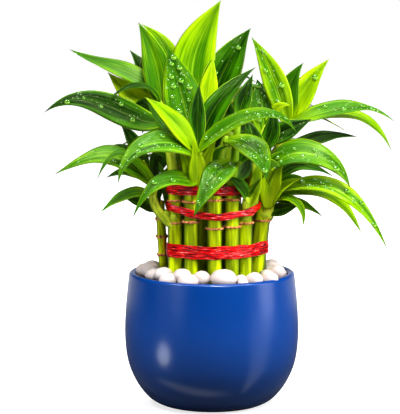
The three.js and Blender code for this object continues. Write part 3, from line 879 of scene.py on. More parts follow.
@dataclass(frozen=True)
class LeafFinish(Finish):
    """Waxy leaf skin: deep green in the middle, fresh at its margins and root, by its tone."""

    under: bool = False
    dark: Triple = (0.001, 0.022, 0.0005)
    mid: Triple = (0.048, 0.190, 0.001)
    light: Triple = (0.255, 0.455, 0.002)
    bright: Triple = (0.500, 0.720, 0.003)
    margin: Triple = (0.620, 0.800, 0.030)
    rib: Triple = (0.420, 0.700, 0.030)
    pale: Triple = (0.240, 0.420, 0.030)
    glossy: Pair = (0.08, 0.16)
    dull: Pair = (0.42, 0.58)

    def build(self, fibre: NodeTree) -> Material:
        """Builds the material.

        Args:
            fibre: the shared fibre group.

        Returns:
            The material.
        """
        material, bench, shader = self.start()
        place = bench.place()
        across, length, tone = bench.split(place)
        side = bench.math("ABSOLUTE", across)
        threads = bench.group(fibre, Place=place, Across=5.0, Along=0.6, Seed=3.0)
        cloud = bench.noise(bench.stretch(place, (1.6, 2.2, 60.0)), 1.0, 2.0)
        fresh = bench.math("MULTIPLY_ADD", bench.ramp(cloud, 0.25, 0.75), 0.34, tone)
        fresh = bench.math("ADD", fresh, bench.ramp(side, 0.3, 1.0, (-0.16, 0.08)))
        fresh = bench.math("ADD", fresh, bench.ramp(length, 0.45, 0.0, (0.0, 0.3)))
        fresh = bench.math("MULTIPLY_ADD", threads.outputs["Streaks"], 0.20, fresh)
        fresh = bench.math("MULTIPLY_ADD", threads.outputs["Veins"], 0.14, fresh)
        colour = bench.mix(bench.ramp(fresh, 0.05, 0.55), self.dark, self.mid)
        colour = bench.mix(bench.ramp(fresh, 0.50, 0.95), colour, self.light)
        colour = bench.mix(bench.ramp(fresh, 0.90, 1.35), colour, self.bright)
        rib = bench.math("MULTIPLY", bench.ramp(side, 0.06, 0.02), bench.ramp(length, 0.95, 0.2))
        rib = bench.math("MULTIPLY", rib, bench.ramp(tone, 0.0, 0.4, (0.12, 0.45)))
        colour = bench.mix(rib, colour, self.rib)
        colour = bench.mix(bench.ramp(side, 0.94, 0.99, (0.0, 0.7)), colour, self.margin)
        if self.under:
            colour = bench.mix(0.3, colour, self.pale)
        bench.join(colour, shader.inputs["Base Color"])
        gloss = self.dull if self.under else self.glossy
        bench.join(bench.ramp(threads.outputs["Streaks"], 0.0, 1.0, gloss), shader.inputs["Roughness"])
        bench.join(bench.bump(threads.outputs["Height"], 0.0006, 0.6), shader.inputs["Normal"])
        return material


@dataclass(frozen=True)
class CaneFinish(Finish):
    """Smooth green cane: yellow-green with olive patches and faint fibres, and painted shade darkening it
    towards its outline.
    """

    # dark is the cane's own deep green and also its painted outline shade
    dark: Triple = (0.020, 0.070, 0.0004)
    light: Triple = (0.740, 0.900, 0.001)
    tip: Triple = (0.340, 0.520, 0.020)
    rough: Pair = (0.24, 0.38)

    def build(self, fibre: NodeTree) -> Material:
        """Builds the material.

        Args:
            fibre: the shared fibre group.

        Returns:
            The material.
        """
        material, bench, shader = self.start()
        place = bench.place()
        _, length, tone = bench.split(place)
        threads = bench.group(fibre, Place=place, Across=14.0, Along=3.0, Seed=9.0)
        patch = bench.noise(bench.stretch(place, (1.5, 4.0, 9.0)), 1.0, 2.0)
        amount = bench.math("MULTIPLY", tone, bench.ramp(patch, 0.32, 0.68, (0.32, 1.08)))
        threaded = bench.ramp(threads.outputs["Streaks"], 0.0, 1.0, (0.94, 1.06))
        colour = bench.mix(bench.math("MULTIPLY", amount, threaded), self.dark, self.light)
        # Painted shade: the colour darkens towards the outline, where the canes shade each other
        turned = bench.node("ShaderNodeLayerWeight").outputs["Facing"]
        colour = bench.mix(bench.ramp(turned, 0.12, 0.75, (0.0, 0.94)), colour, self.dark)
        colour = bench.mix(bench.ramp(length, 0.7, 0.95, (0.0, 0.4)), colour, self.tip)
        bench.join(colour, shader.inputs["Base Color"])
        bench.join(bench.ramp(threads.outputs["Veins"], 0.0, 1.0, self.rough), shader.inputs["Roughness"])
        bench.join(bench.bump(threads.outputs["Height"], 0.0002, 0.3), shader.inputs["Normal"])
        return material


@dataclass(frozen=True)
class GrainFinish(Finish):
    """A finish of two colours in soft clouds, with a fine grain in its surface."""

    first: Triple = EVEN
    second: Triple = EVEN
    size: float = 1.0
    rough: Pair = (0.0, 1.0)
    relief: float = 0.0

    def build(self, grain: NodeTree) -> Material:
        """Builds the material.

        Args:
            grain: the shared grain group.

        Returns:
            The material.
        """
        material, bench, shader = self.start()
        grains = bench.group(grain, Size=self.size, Stretch=EVEN)
        bench.join(bench.mix(grains.outputs["Cloud"], self.first, self.second), shader.inputs["Base Color"])
        bench.join(bench.ramp(grains.outputs["Cloud"], 0.0, 1.0, self.rough), shader.inputs["Roughness"])
        bench.join(bench.bump(grains.outputs["Height"], self.relief, 0.5), shader.inputs["Normal"])
        return material


@dataclass(frozen=True)
class GlazeFinish(Finish):
    """Blue glaze, darker towards the foot."""

    shoulder: Triple = (0.0010, 0.049, 0.238)
    foot: Triple = (0.0030, 0.027, 0.110)

    def build(self, grain: NodeTree) -> Material:
        """Builds the material.

        Args:
            grain: the shared grain group.

        Returns:
            The material.
        """
        material, bench, shader = self.start()
        grains = bench.group(grain, Size=120.0, Stretch=EVEN)
        height = bench.split(bench.node("ShaderNodeTexCoord").outputs["Object"])[2]
        level = bench.math("MULTIPLY_ADD", grains.outputs["Cloud"], 0.006, height)
        colour = bench.mix(bench.ramp(level, 0.0, 0.085), self.foot, self.shoulder)
        bench.join(colour, shader.inputs["Base Color"])
        bench.join(bench.bump(grains.outputs["Height"], 0.000004, 0.5), shader.inputs["Normal"])
        return material


@dataclass(frozen=True)
class RibbonFinish(Finish):
    """Shiny red ribbon: painted shade in its creases, with short painted glints along it."""

    painted_crease_shade: Triple = (0.08, 0.000, 0.001)
    face: Triple = (0.86, 0.000, 0.002)
    painted_glint: Triple = (1.00, 0.52, 0.46)

    def build(self, grain: NodeTree) -> Material:
        """Builds the material.

        Args:
            grain: the shared grain group.

        Returns:
            The material.
        """
        material, bench, shader = self.start()
        grains = bench.group(grain, Size=130.0, Stretch=(1.0, 1.0, 8.0))
        crumple = grains.outputs["Height"]
        # Painted shade darkens the creases, and painted glints lighten the crests
        colour = bench.mix(bench.ramp(crumple, 0.40, 0.50), self.painted_crease_shade, self.face)
        colour = bench.mix(bench.ramp(crumple, 0.61, 0.66), colour, self.painted_glint)
        bench.join(colour, shader.inputs["Base Color"])
        bench.join(bench.bump(crumple, 0.0012, 0.5), shader.inputs["Normal"])
        return material


@dataclass(frozen=True)
class WaterFinish(Finish):
    """Clear water, see-through in a bead's middle, with painted light: bright below, painted shade on its top
    and outline, and a painted glint that glows.
    """

    bead: Pair = (0.5, 1.0)
    dew: Pair = (0.25, 0.75)
    # outline darkens a bead's rim as painted shade, upper and lower paint it darker on top and brighter below
    # as painted light, and pale is painted on fine dew in place of its highlights
    outline: Triple = (0.001, 0.020, 0.001)
    upper: Triple = (0.060, 0.260, 0.010)
    lower: Triple = (0.500, 0.900, 0.120)
    pale: Triple = (0.600, 0.860, 0.420)
    painted_glint_way: Triple = (-0.30, -0.72, 0.62)

    def build(self) -> Material:
        """Builds the material.

        Returns:
            The material.
        """
        material, bench, shader = self.start()
        turned = bench.node("ShaderNodeLayerWeight").outputs["Facing"]
        normal = bench.node("ShaderNodeNewGeometry").outputs["Normal"]
        fine = bench.split(bench.place())[0]
        # Painted light: the bead is brighter where it faces down and darker where it faces up, and painted
        # shade darkens its outline
        body = bench.mix(bench.ramp(bench.split(normal)[2], -0.1, 0.4), self.lower, self.upper)
        body = bench.mix(bench.ramp(turned, 0.5, 0.8), body, self.outline)
        # A painted highlight: the bead glows white where it faces one fixed way
        towards = bench.vector("DOT_PRODUCT", normal, self.painted_glint_way).outputs["Value"]
        painted_glint = bench.ramp(towards, 0.955, 0.98)
        bead = bench.ramp(turned, 0.0, 0.6, self.bead)
        clear = bench.mix(fine, bead, bench.ramp(turned, 0.1, 0.75, self.dew))
        bench.join(bench.math("MAXIMUM", clear, painted_glint), shader.inputs["Alpha"])
        # Fine dew takes a pale colour that stands in for its highlights
        bench.join(bench.mix(fine, body, self.pale), shader.inputs["Base Color"])
        bench.join(bench.mix(painted_glint, (0, 0, 0), (1, 1, 1)), shader.inputs["Emission Color"])
        return material


# What the finishes' shaders keep the same all over, and the finishes that differ in numbers only
WAXY = (("IOR", 1.42), ("Specular IOR Level", 0.4), ("Specular Tint", (0.85, 1.0, 0.5, 1.0)))
DULL = (("Specular IOR Level", 0.1),)
SMOOTH = (("Specular IOR Level", 0.18),)
CLOUDY = (("Subsurface Weight", 0.15), ("Subsurface Radius", (0.004, 0.003, 0.002)))
# The water's emission strength lights its painted glint
WATERY = (("Roughness", 0.05), ("IOR", 1.33), ("Emission Strength", 0.9))
GRAINY = (
    GrainFinish(
        "node_ring", first=(0.30, 0.05, 0.01), second=(1.0, 0.46, 0.17), size=3600.0,
        rough=(0.55, 0.75), relief=0.0004,
    ),
    GrainFinish(
        "bare_foot", first=(0.55, 0.46, 0.38), second=(0.66, 0.57, 0.48), size=900.0,
        rough=(0.8, 0.95), relief=0.0002,
    ),
    GrainFinish(
        "white_pebble", CLOUDY, first=(0.58, 0.50, 0.47), second=(0.68, 0.61, 0.58), size=260.0,
        rough=(0.34, 0.5), relief=0.00015,
    ),
    GrainFinish(
        "potting_soil", first=(0.018, 0.011, 0.007), second=(0.05, 0.03, 0.018), size=500.0,
        rough=(0.85, 1.0), relief=0.002,
    ),
)


class Finishes:
    """All the finishes of the plant and its pot, built once."""

    def __init__(self) -> None:
        """Builds the shared groups and each material."""
        fibre, grain = fibre_group(), grain_group()
        self.leaf_top = LeafFinish("leaf_skin", WAXY).build(fibre)
        self.leaf_under = LeafFinish("leaf_underside", DULL, under=True).build(fibre)
        self.cane = CaneFinish("cane_skin", SMOOTH).build(fibre)
        shoot = CaneFinish("shoot_skin", SMOOTH, dark=(0.16, 0.32, 0.001), light=(0.82, 0.95, 0.06))
        self.shoot = shoot.build(fibre)
        self.glaze = GlazeFinish("blue_glaze", (("IOR", 1.5), ("Roughness", 0.24))).build(grain)
        self.ribbon = RibbonFinish("red_ribbon", (("IOR", 1.5), ("Roughness", 0.12))).build(grain)
        self.water = WaterFinish("water_drop", WATERY).build()
        self.ring, self.bisque, self.pebble, self.soil = (finish.build(grain) for finish in GRAINY)


# A stone up to SMALL_STONE mm wide gets fewer faces
SMALL_STONE = 8.0
STONE_PLACE = (0.0, 0.5, 0.6)


def add_stone(skin: Skin, centre: Vector, size: Triple, turn: float = 0.0, slot: int = 0) -> None:
    """Adds one rounded body, such as a water-worn pebble or a bud.

    Args:
        skin: the skin to add to.
        centre: its middle in mm.
        size: its full width, depth and height.
        turn: its turn about the vertical in radians.
        slot: the skin's material slot.
    """
    rows, sides = (12, 20) if size[0] > SMALL_STONE else (8, 12)
    cos, sin = math.cos(turn), math.sin(turn)
    rings = []
    for i in range(rows + 1):
        angle = math.pi * i / rows
        level = math.sin(angle)
        ring = []
        for around in turns(sides)[:1 if i in (0, rows) else sides]:
            ray = Vector((level * math.cos(around), level * math.sin(around), -math.cos(angle)))
            bulge = 0.5 * (1 + 0.09 * noise.noise(ray * 1.1 + centre * 0.31))
            spot = Vector((ray.x * size[0], ray.y * size[1], ray.z * size[2])) * bulge
            ring.append(centre + Vector((spot.x * cos - spot.y * sin, spot.x * sin + spot.y * cos, spot.z)))
        rings.append(ring)
    skin.add_rings(rings, [[STONE_PLACE] * len(ring) for ring in rings], lambda column: slot)


# The growing pieces


# A leaf's outline: its root's share of the width, and how its belly sits and curves
CLASP_WIDTH = 0.27
BELLY_SHIFT = 0.8
BELLY_CURVE = 1.15


def blade_width(t: float) -> float:
    """Finds a leaf's share of its full width.

    Args:
        t: how far along, 0 at the root and 1 at the tip.

    Returns:
        The share: 1 where the leaf is widest, and 0 at its tip.
    """
    t = min(max(t, 0.0), 1.0)
    belly = max(math.sin(math.pi * t ** BELLY_SHIFT), 0.0) ** BELLY_CURVE
    return CLASP_WIDTH * (1 - t) ** 3 + belly


@dataclass
class Leaf:
    """One leaf: a folded trough along its path, with a rounded midrib and a waved margin.

    width, ripple and groove_depth are in mm. opening is how much the fold flattens towards the
    tip, wave is where the ripple starts, the thin and rib shares are of the leaf's thickness,
    and the rib's and the groove's reach are shares of half the width.
    """

    path: list[Vector]
    width: float
    look: Vector
    look_end: Vector
    fold: float
    tone: float
    wave: float
    stations: int = 26
    bunching: float = 0.92
    opening: float = 0.6
    fold_curve: float = 1.15
    hollow: float = 0.07
    ripple: float = 0.35
    ripples: float = 2.6
    ripple_lag: float = 0.25
    tip_loss: float = 0.45
    thin_share: float = 0.42
    rib_share: float = 0.58
    rib_reach: float = 0.16
    groove_reach: float = 0.07
    groove_depth: float = 0.22
    columns: tuple[float, ...] = (-1.0, -0.84, -0.6, -0.36, -0.14, 0.0, 0.14, 0.36, 0.6, 0.84, 1.0)

    def surface(self, t: float, across: float) -> tuple[Vector, Vector, Vector]:
        """Finds a point of the leaf's middle layer.

        Args:
            t: how far along, 0 at the root and 1 at the tip.
            across: how far across, from -1 to 1.

        Returns:
            The point, the way up from it, and the way across.
        """
        ahead = heading(self.path, t)
        look = self.look.lerp(self.look_end, t)
        side = ahead.cross(look).normalized()
        up = side.cross(ahead).normalized()
        half = self.width / 2 * blade_width(t)
        away = abs(across)
        lift = half * self.fold * (1 - self.opening * t) * away ** self.fold_curve
        crown = self.hollow * half * math.sin(math.pi * away)
        phase = 2 * math.pi * (self.ripples * t + self.wave + self.ripple_lag * across)
        ripple = self.ripple * math.sin(phase) * away ** 2 * min(1, 4 * (1 - t))
        point = along(self.path, t) + side * half * across + up * (lift + crown + ripple)
        return point, up, side

    def thickness(self, t: float, across: float) -> float:
        """Finds the leaf's thickness, greatest at its midrib.

        Args:
            t: how far along, 0 at the root and 1 at the tip.
            across: how far across, from -1 to 1.

        Returns:
            The thickness in mm.
        """
        rib = math.exp(-((across / self.rib_reach) ** 2))
        share = self.thin_share + self.rib_share * rib
        return LEAF_THICKNESS * (1 - self.tip_loss * t) * share

    def add_to(self, skin: Skin) -> None:
        """Adds the leaf to a skin, its upper side in slot 0 and its underside in slot 1.

        Args:
            skin: the skin to add to.
        """
        rings, places = [], []
        for i in range(self.stations):
            t = (i / self.stations) ** self.bunching
            top, under = [], []
            for across in self.columns:
                point, up, _ = self.surface(t, across)
                edge = across in (-1.0, 1.0)
                thick = 0.0 if edge else self.thickness(t, across) / 2
                groove = self.groove_depth * math.exp(-((across / self.groove_reach) ** 2)) * (1 - t)
                top.append(point + up * (thick - groove))
                if not edge:
                    under.append(point - up * thick)
            rings.append(top[::-1] + under)
            places.append([(across, t, self.tone) for across in self.columns[::-1] + self.columns[1:-1]])
        rings.append([along(self.path, 1.0)])
        places.append([(0.0, 1.0, self.tone)])
        upper = len(self.columns) - 1
        skin.add_rings(rings, places, lambda column: 0 if column < upper else 1)


TIP_SPAN = 0.16


@dataclass
class Shoot:
    """A leafy shoot's stem: a narrowing tube with the overlapping edges of old leaf sheaths."""

    path: list[Vector]
    radii: Pair
    tone: float
    sides: int = 16
    stations: int = 24
    sheaths: int = 3
    sheath_edge: float = 0.06
    tip_start: float = 0.84
    tip_loss: float = 0.45

    def add_to(self, skin: Skin, slot: int) -> None:
        """Adds the stem to a skin.

        Args:
            skin: the skin to add to.
            slot: the skin's material slot.
        """
        rings, places = [], []
        for i in range(self.stations + 1):
            t = i / self.stations
            ahead = heading(self.path, t)
            side = ahead.cross(BACKWARDS).normalized()
            other = ahead.cross(side).normalized()
            step = (t * self.sheaths) % 1.0
            tip = max(0.0, (t - self.tip_start) / TIP_SPAN)
            swell = 1.0 + self.sheath_edge * (step - 0.5) - self.tip_loss * tip ** 2
            radius = (self.radii[0] + (self.radii[1] - self.radii[0]) * t) * swell
            middle = along(self.path, t)
            rings.append([
                middle + (side * math.cos(angle) + other * math.sin(angle)) * radius
                for angle in turns(self.sides)
            ])
            places.append([(math.cos(angle), t, self.tone) for angle in turns(self.sides)])
        skin.add_rings(rings, places, lambda column: slot)


def drawn_growth(
    cane: Cane, plan: Hidden
) -> tuple[list[Vector], list[tuple[list[Vector], float, Vector]]]:
    """Draws a hidden shoot and its leaves by the same rule as the solids.

    Args:
        cane: the cane it grows from.
        plan: the shoot's plan.

    Returns:
        The shoot's path, and each leaf's path, width and the way it looks.
    """
    draw = Draws(plan.seed)
    foot = cane.axis(cane.top - SHOOT_FOOT)
    crown = foot + compass(plan.toward) * plan.lean + UP * plan.rise
    middle = foot.lerp(crown, 0.5) + UP * plan.rise * SHOOT_ARCH
    shoot = [foot, middle, crown]
    leaves = []
    for i in range(plan.leaves):
        share = i / (plan.leaves - 1)
        turn = plan.toward + (share - 0.5) * FAN_SPREAD + (draw() - 0.5) * FAN_SCATTER
        out = compass(turn)
        reach = draw.between(LEAF_REACH) * plan.size
        climb = draw.between(FLAT_LEAF if i % 2 else STEEP_LEAF)
        root = along(shoot, ROOT_SHARE + ROOT_STEP * (i % 2))
        via = root + out * reach * VIA_REACH + UP * reach * climb * VIA_CLIMB
        tip = root + out * reach + UP * reach * (climb - TIP_DROP)
        width = draw.between(LEAF_BREADTH) * plan.size
        leaves.append(([root, via, tip], width, out * -0.5 + UP * 0.85))
    return shoot, leaves


# Slots of a stalk's stem piece, after the cane's own
SHOOT_SLOT = 1
RING_SLOT = 2


@dataclass
class Stalk:
    """One stalk: its cane with node rings, its shoots, their leaves and the water on them.

    swell is how far the cane stands out at a node ring, in mm, and waist how much it narrows
    between them. A hidden leaf is wet when its draw is over wet_above.
    """

    key: str
    finishes: Finishes
    cane: Cane = field(init=False)
    draw: Draws = field(init=False)
    tone: float = field(init=False)
    first_seed: int = 700
    cane_sides: int = 28
    cane_step: float = 2.2
    swell: float = 0.5
    swell_reach: float = 2.2
    waist: float = 0.012
    waist_pitch: float = 0.23
    waist_shift: float = 9.0
    wet_above: float = 0.7
    wet_drops: int = 14
    ring_tube: float = 1.05
    ring_steps: int = 64
    ring_sides: int = 6
    ring_clear: float = 0.12
    ring_ragged: float = 0.45
    ring_flat: float = 0.8
    tone_scatter: float = 0.1
    hidden_tone: float = 0.75
    hidden_bias: float = 1.5

    def __post_init__(self) -> None:
        """Looks up the stalk's cane and starts its own draw."""
        self.cane = CANES[self.key]
        self.draw = Draws(self.first_seed + ord(self.key))
        # The low tones of the back and inner canes are painted shade
        low, span = next(tone for keys, tone in CANE_TONES_WITH_PAINTED_SHADE.items() if self.key in keys)
        self.tone = low + span * self.draw()

    def cane_radius(self, height: float) -> float:
        """Finds the cane's radius, which swells at each node ring.

        Args:
            height: the height in mm.

        Returns:
            The radius in mm.
        """
        swell = sum(math.exp(-(((height - ring) / self.swell_reach) ** 2)) for ring in self.cane.rings)
        wave = math.sin(height * self.waist_pitch + self.tone * self.waist_shift)
        return self.cane.radius * (1 - self.waist * wave) + self.swell * swell

    def add_cane(self, skin: Skin) -> None:
        """Adds the cane in slot 0, its cut top rounded.

        Args:
            skin: the skin to add to.
        """
        top = self.cane.top
        rows = [(CANE_FOOT + self.cane_step * i, 0.0) for i in range(int((top - CANE_FOOT) / self.cane_step))]
        rings, places = [], []
        for height, inset in [*rows, (top - 1.6, 0.0), (top - 0.7, 0.4), (top - 0.15, 1.4)]:
            middle = self.cane.axis(height)
            radius = self.cane_radius(height) - inset
            rings.append([
                middle + Vector((math.cos(angle), math.sin(angle), 0)) * radius
                for angle in turns(self.cane_sides)
            ])
            place = (height - CANE_FOOT) / CANE_SPAN
            places.append([(math.cos(angle), place, self.tone) for angle in turns(self.cane_sides)])
        skin.add_rings(rings, places)

    def add_node_ring(self, skin: Skin, height: float) -> None:
        """Adds one ragged papery ring round the cane.

        Args:
            skin: the skin to add to.
            height: the ring's height.
        """
        rings = []
        for angle in turns(self.ring_steps):
            out = Vector((math.cos(angle), math.sin(angle), 0))
            ragged = noise.noise(Vector((out.x * 5, out.y * 5, height * 0.7 + self.tone * 40)))
            reach = self.cane_radius(height) + self.ring_clear + 0.15 * ragged
            middle = self.cane.axis(height + self.ring_ragged * ragged) + out * reach
            tube = self.ring_tube * (1 + self.ring_ragged * ragged)
            rings.append([
                middle + out * math.cos(turn) * tube * self.ring_flat + UP * math.sin(turn) * tube
                for turn in turns(self.ring_sides)
            ])
        places = [[(0.0, 0.5, self.tone)] * self.ring_sides] * self.ring_steps
        skin.add_rings(rings, places, lambda column: RING_SLOT, loop=True)

    def leaves(self) -> Iterable[tuple[Leaf, int]]:
        """Draws the stalk's leaves.

        Yields:
            Each leaf, and how many drops lie on it.
        """
        for blade in BLADES.get(self.key, ()):
            look = Vector(blade.look.value)
            end = Vector((blade.look_end or blade.look).value)
            path = [PICTURE.seen(spot) for spot in blade.points]
            tone = min(max(blade.tone.value + self.tone_scatter * (self.draw() - 0.5), 0.0), 1.0)
            yield Leaf(path, blade.width, look, end, blade.fold, tone, self.draw()), blade.drops
        if self.key in HIDDEN:
            for path, width, look in drawn_growth(self.cane, HIDDEN[self.key])[1]:
                tone = self.hidden_tone * self.draw() ** self.hidden_bias
                drops = self.wet_drops if self.draw() > self.wet_above else 0
                yield Leaf(path, width, look, look, FOLD, tone, self.draw()), drops
        for blade in SHEATHS.get(self.key, ()):
            look = Vector(blade.look.value)
            path = [PICTURE.seen(spot) for spot in blade.points]
            yield Leaf(path, blade.width, look, look, blade.fold, blade.tone.value, wave=0.5), 0

    def stems(self) -> Iterable[Shoot]:
        """Lays out the stalk's shoots.

        Yields:
            Each shoot.
        """
        for stem in STEMS.get(self.key, ()):
            yield Shoot([PICTURE.seen(spot) for spot in stem.points], stem.radii, self.tone + stem.pale)
        if self.key in HIDDEN:
            yield Shoot(drawn_growth(self.cane, HIDDEN[self.key])[0], HIDDEN_RADII, self.tone)

    def build(self) -> None:
        """Builds and seats the stalk's stem piece, leaf piece and water piece."""
        node = f"stalk_{self.key}"
        wood = Skin()
        self.add_cane(wood)
        for height in self.cane.rings:
            self.add_node_ring(wood, height)
        for shoot in self.stems():
            shoot.add_to(wood, SHOOT_SLOT)
        for spot, size in BUDS.get(self.key, ()):
            add_stone(wood, PICTURE.seen(spot), size, slot=SHOOT_SLOT)
        made = wood.make(f"{node}_cane", (self.finishes.cane, self.finishes.shoot, self.finishes.ring))
        seat(made, "plant_green", node)
        foliage, water = Skin(), Skin()
        for leaf, drops in self.leaves():
            leaf.add_to(foliage)
            DropField(leaf, drops, self.draw).add_to(water)
        made = foliage.make(f"{node}_leaves", (self.finishes.leaf_top, self.finishes.leaf_under))
        seat(made, "plant_green", node)
        if water.faces:
            seat(water.make(f"{node}_water", (self.finishes.water,)), "water_drop")


@dataclass
class DropField:
    """Water on one leaf: a few big beads and many fine ones, flattened where they sit.

    first and span are where along the leaf the drops lie, and margin how far across. Big beads
    stay rib_clear off the midrib. lift, sunk and domed are shares of a bead's radius: how high
    its middle lies, and how far it reaches below and above that.
    """

    leaf: Leaf
    count: int
    draw: Draws
    big_share: float = 0.12
    big_radius: Pair = (1.3, 2.6)
    fine_radius: Pair = (0.25, 0.65)
    first: float = 0.2
    span: float = 0.68
    margin: float = 0.85
    rib_clear: float = 0.12
    big_spread: float = 0.24
    lift: float = 0.22
    sunk: float = 0.45
    domed: float = 0.72

    def add_to(self, skin: Skin) -> None:
        """Adds the drops to a skin.

        Args:
            skin: the skin to add to.
        """
        big_count = math.ceil(self.count * self.big_share)
        for i in range(self.count):
            big = i < big_count
            radius = self.draw.between(self.big_radius if big else self.fine_radius)
            share = self.draw()
            t = self.first + self.span * ((i + share) / big_count if big else share)
            across = 2 * self.margin * self.draw() - self.margin
            if big:
                across = (self.rib_clear + self.big_spread * (across + self.margin)) * (1 if i % 2 else -1)
            point, up, side = self.leaf.surface(t, across)
            centre = point + up * (self.leaf.thickness(t, across) / 2 + radius * self.lift)
            self.add_bead(skin, centre, up, side, radius, big)

    def add_bead(
        self, skin: Skin, centre: Vector, up: Vector, side: Vector, radius: float, big: bool
    ) -> None:
        """Adds one flattened bead.

        Args:
            skin: the skin to add to.
            centre: the bead's middle.
            up: the way up from the leaf.
            side: the way across the leaf.
            radius: the bead's radius in mm.
            big: gives it more faces.
        """
        rows, sides = (8, 16) if big else (4, 8)
        other = up.cross(side)
        rings = [[centre - up * radius * self.sunk]]
        for i in range(1, rows):
            angle = math.pi * i / rows
            height = -math.cos(angle) * radius * (self.sunk if angle < math.pi / 2 else self.domed)
            wide = math.sin(angle) * radius
            rings.append([
                centre + up * height + (side * math.cos(turn) - other * math.sin(turn)) * wide
                for turn in turns(sides)
            ])
        rings.append([centre + up * radius * self.domed])
        places = [[(0.0 if big else 1.0, 0.0, 0.0)] * len(ring) for ring in rings]
        skin.add_rings([ring[::-1] for ring in rings], places)


# The pot and what fills it


@dataclass
class Pot:
    """The round-bellied pot: a thrown wall with a rounded lip, glazed but for its foot.

    The inner wall follows a few of the profile's corners, set in and lifted a little, and then
    inner_foot: radii, and heights over the floor.
    """

    finishes: Finishes
    sides: int = 160
    steps: int = 8
    lip_steps: int = 12
    inner_corners: tuple[int, ...] = (9, 7, 5, 3)
    inner_lift: float = 1.5
    inner_foot: tuple[Pair, Pair] = ((49.0, 3.0), (40.0, 0.0))
    foot_below: float = 0.02

    def outline(self) -> list[Pair]:
        """Draws the pot's section.

        Returns:
            The radius and height of each point, from the foot out, up and in.
        """
        outer = self.rounded([Vector((r, z, 0)) for r, z in POT_PROFILE])
        lip_middle = (LIP_OUTER + LIP_INNER) / 2
        lip_half = (LIP_OUTER - LIP_INNER) / 2
        lip = []
        for i in range(self.lip_steps + 1):
            angle = math.pi * i / self.lip_steps
            height = RIM_HEIGHT - LIP_HEIGHT + LIP_HEIGHT * math.sin(angle)
            lip.append((lip_middle + lip_half * math.cos(angle), height))
        corners = (POT_PROFILE[i] for i in self.inner_corners)
        inside = [Vector((r - POT_WALL, z + self.inner_lift, 0)) for r, z in corners]
        inside += [Vector((r, POT_FLOOR + z, 0)) for r, z in self.inner_foot]
        return [(0.0, 0.0), *outer, *lip, *self.rounded(inside), (0.0, POT_FLOOR)]

    def rounded(self, corners: Sequence[Vector]) -> list[Pair]:
        """Draws a smooth curve through corners.

        Args:
            corners: radius and height of each corner, as x and y.

        Returns:
            The radius and height of each point.
        """
        curve = []
        for i in range(len(corners) - 1):
            before = corners[max(i - 1, 0)]
            after = corners[min(i + 2, len(corners) - 1)]
            start, end = corners[i], corners[i + 1]
            for k in range(self.steps):
                t = k / self.steps
                point = 0.5 * (
                    2 * start + (end - before) * t
                    + (2 * before - 5 * start + 4 * end - after) * t ** 2
                    + (3 * start - before - 3 * end + after) * t ** 3
                )
                curve.append((point.x, max(point.y, 0.0)))
        curve.append((corners[-1].x, corners[-1].y))
        return curve

    def build(self) -> None:
        """Builds and seats the pot."""
        skin = Skin()
        rings, places = [], []
        for radius, height in self.outline():
            if radius == 0:
                rings.append([Vector((0, 0, height))])
            else:
                rings.append([
                    Vector((radius * math.cos(angle), radius * math.sin(angle), height))
                    for angle in turns(self.sides)
                ])
            places.append([(0.0, height / RIM_HEIGHT, 0.0)] * len(rings[-1]))
        skin.add_rings(rings, places)
        low = [point.z < self.foot_below for point in skin.points]
        skin.slots = [1 if all(low[k] for k in face) else 0 for face in skin.faces]
        pot = skin.make("pot_glazed", (self.finishes.glaze, self.finishes.bisque))
        seat(pot, "pot_glaze", "pot")


def gravel_height(spot: Vector) -> float:
    """Returns how high the gravel is at a place: level in the middle, falling to the rim."""
    fall = (math.hypot(spot.x, spot.y) - CROWN_REACH) / (PEBBLE_LIMIT - RIM_BAND - CROWN_REACH)
    return GRAVEL_CROWN + (GRAVEL_TOP - GRAVEL_CROWN) * min(max(fall, 0.0), 1.0)


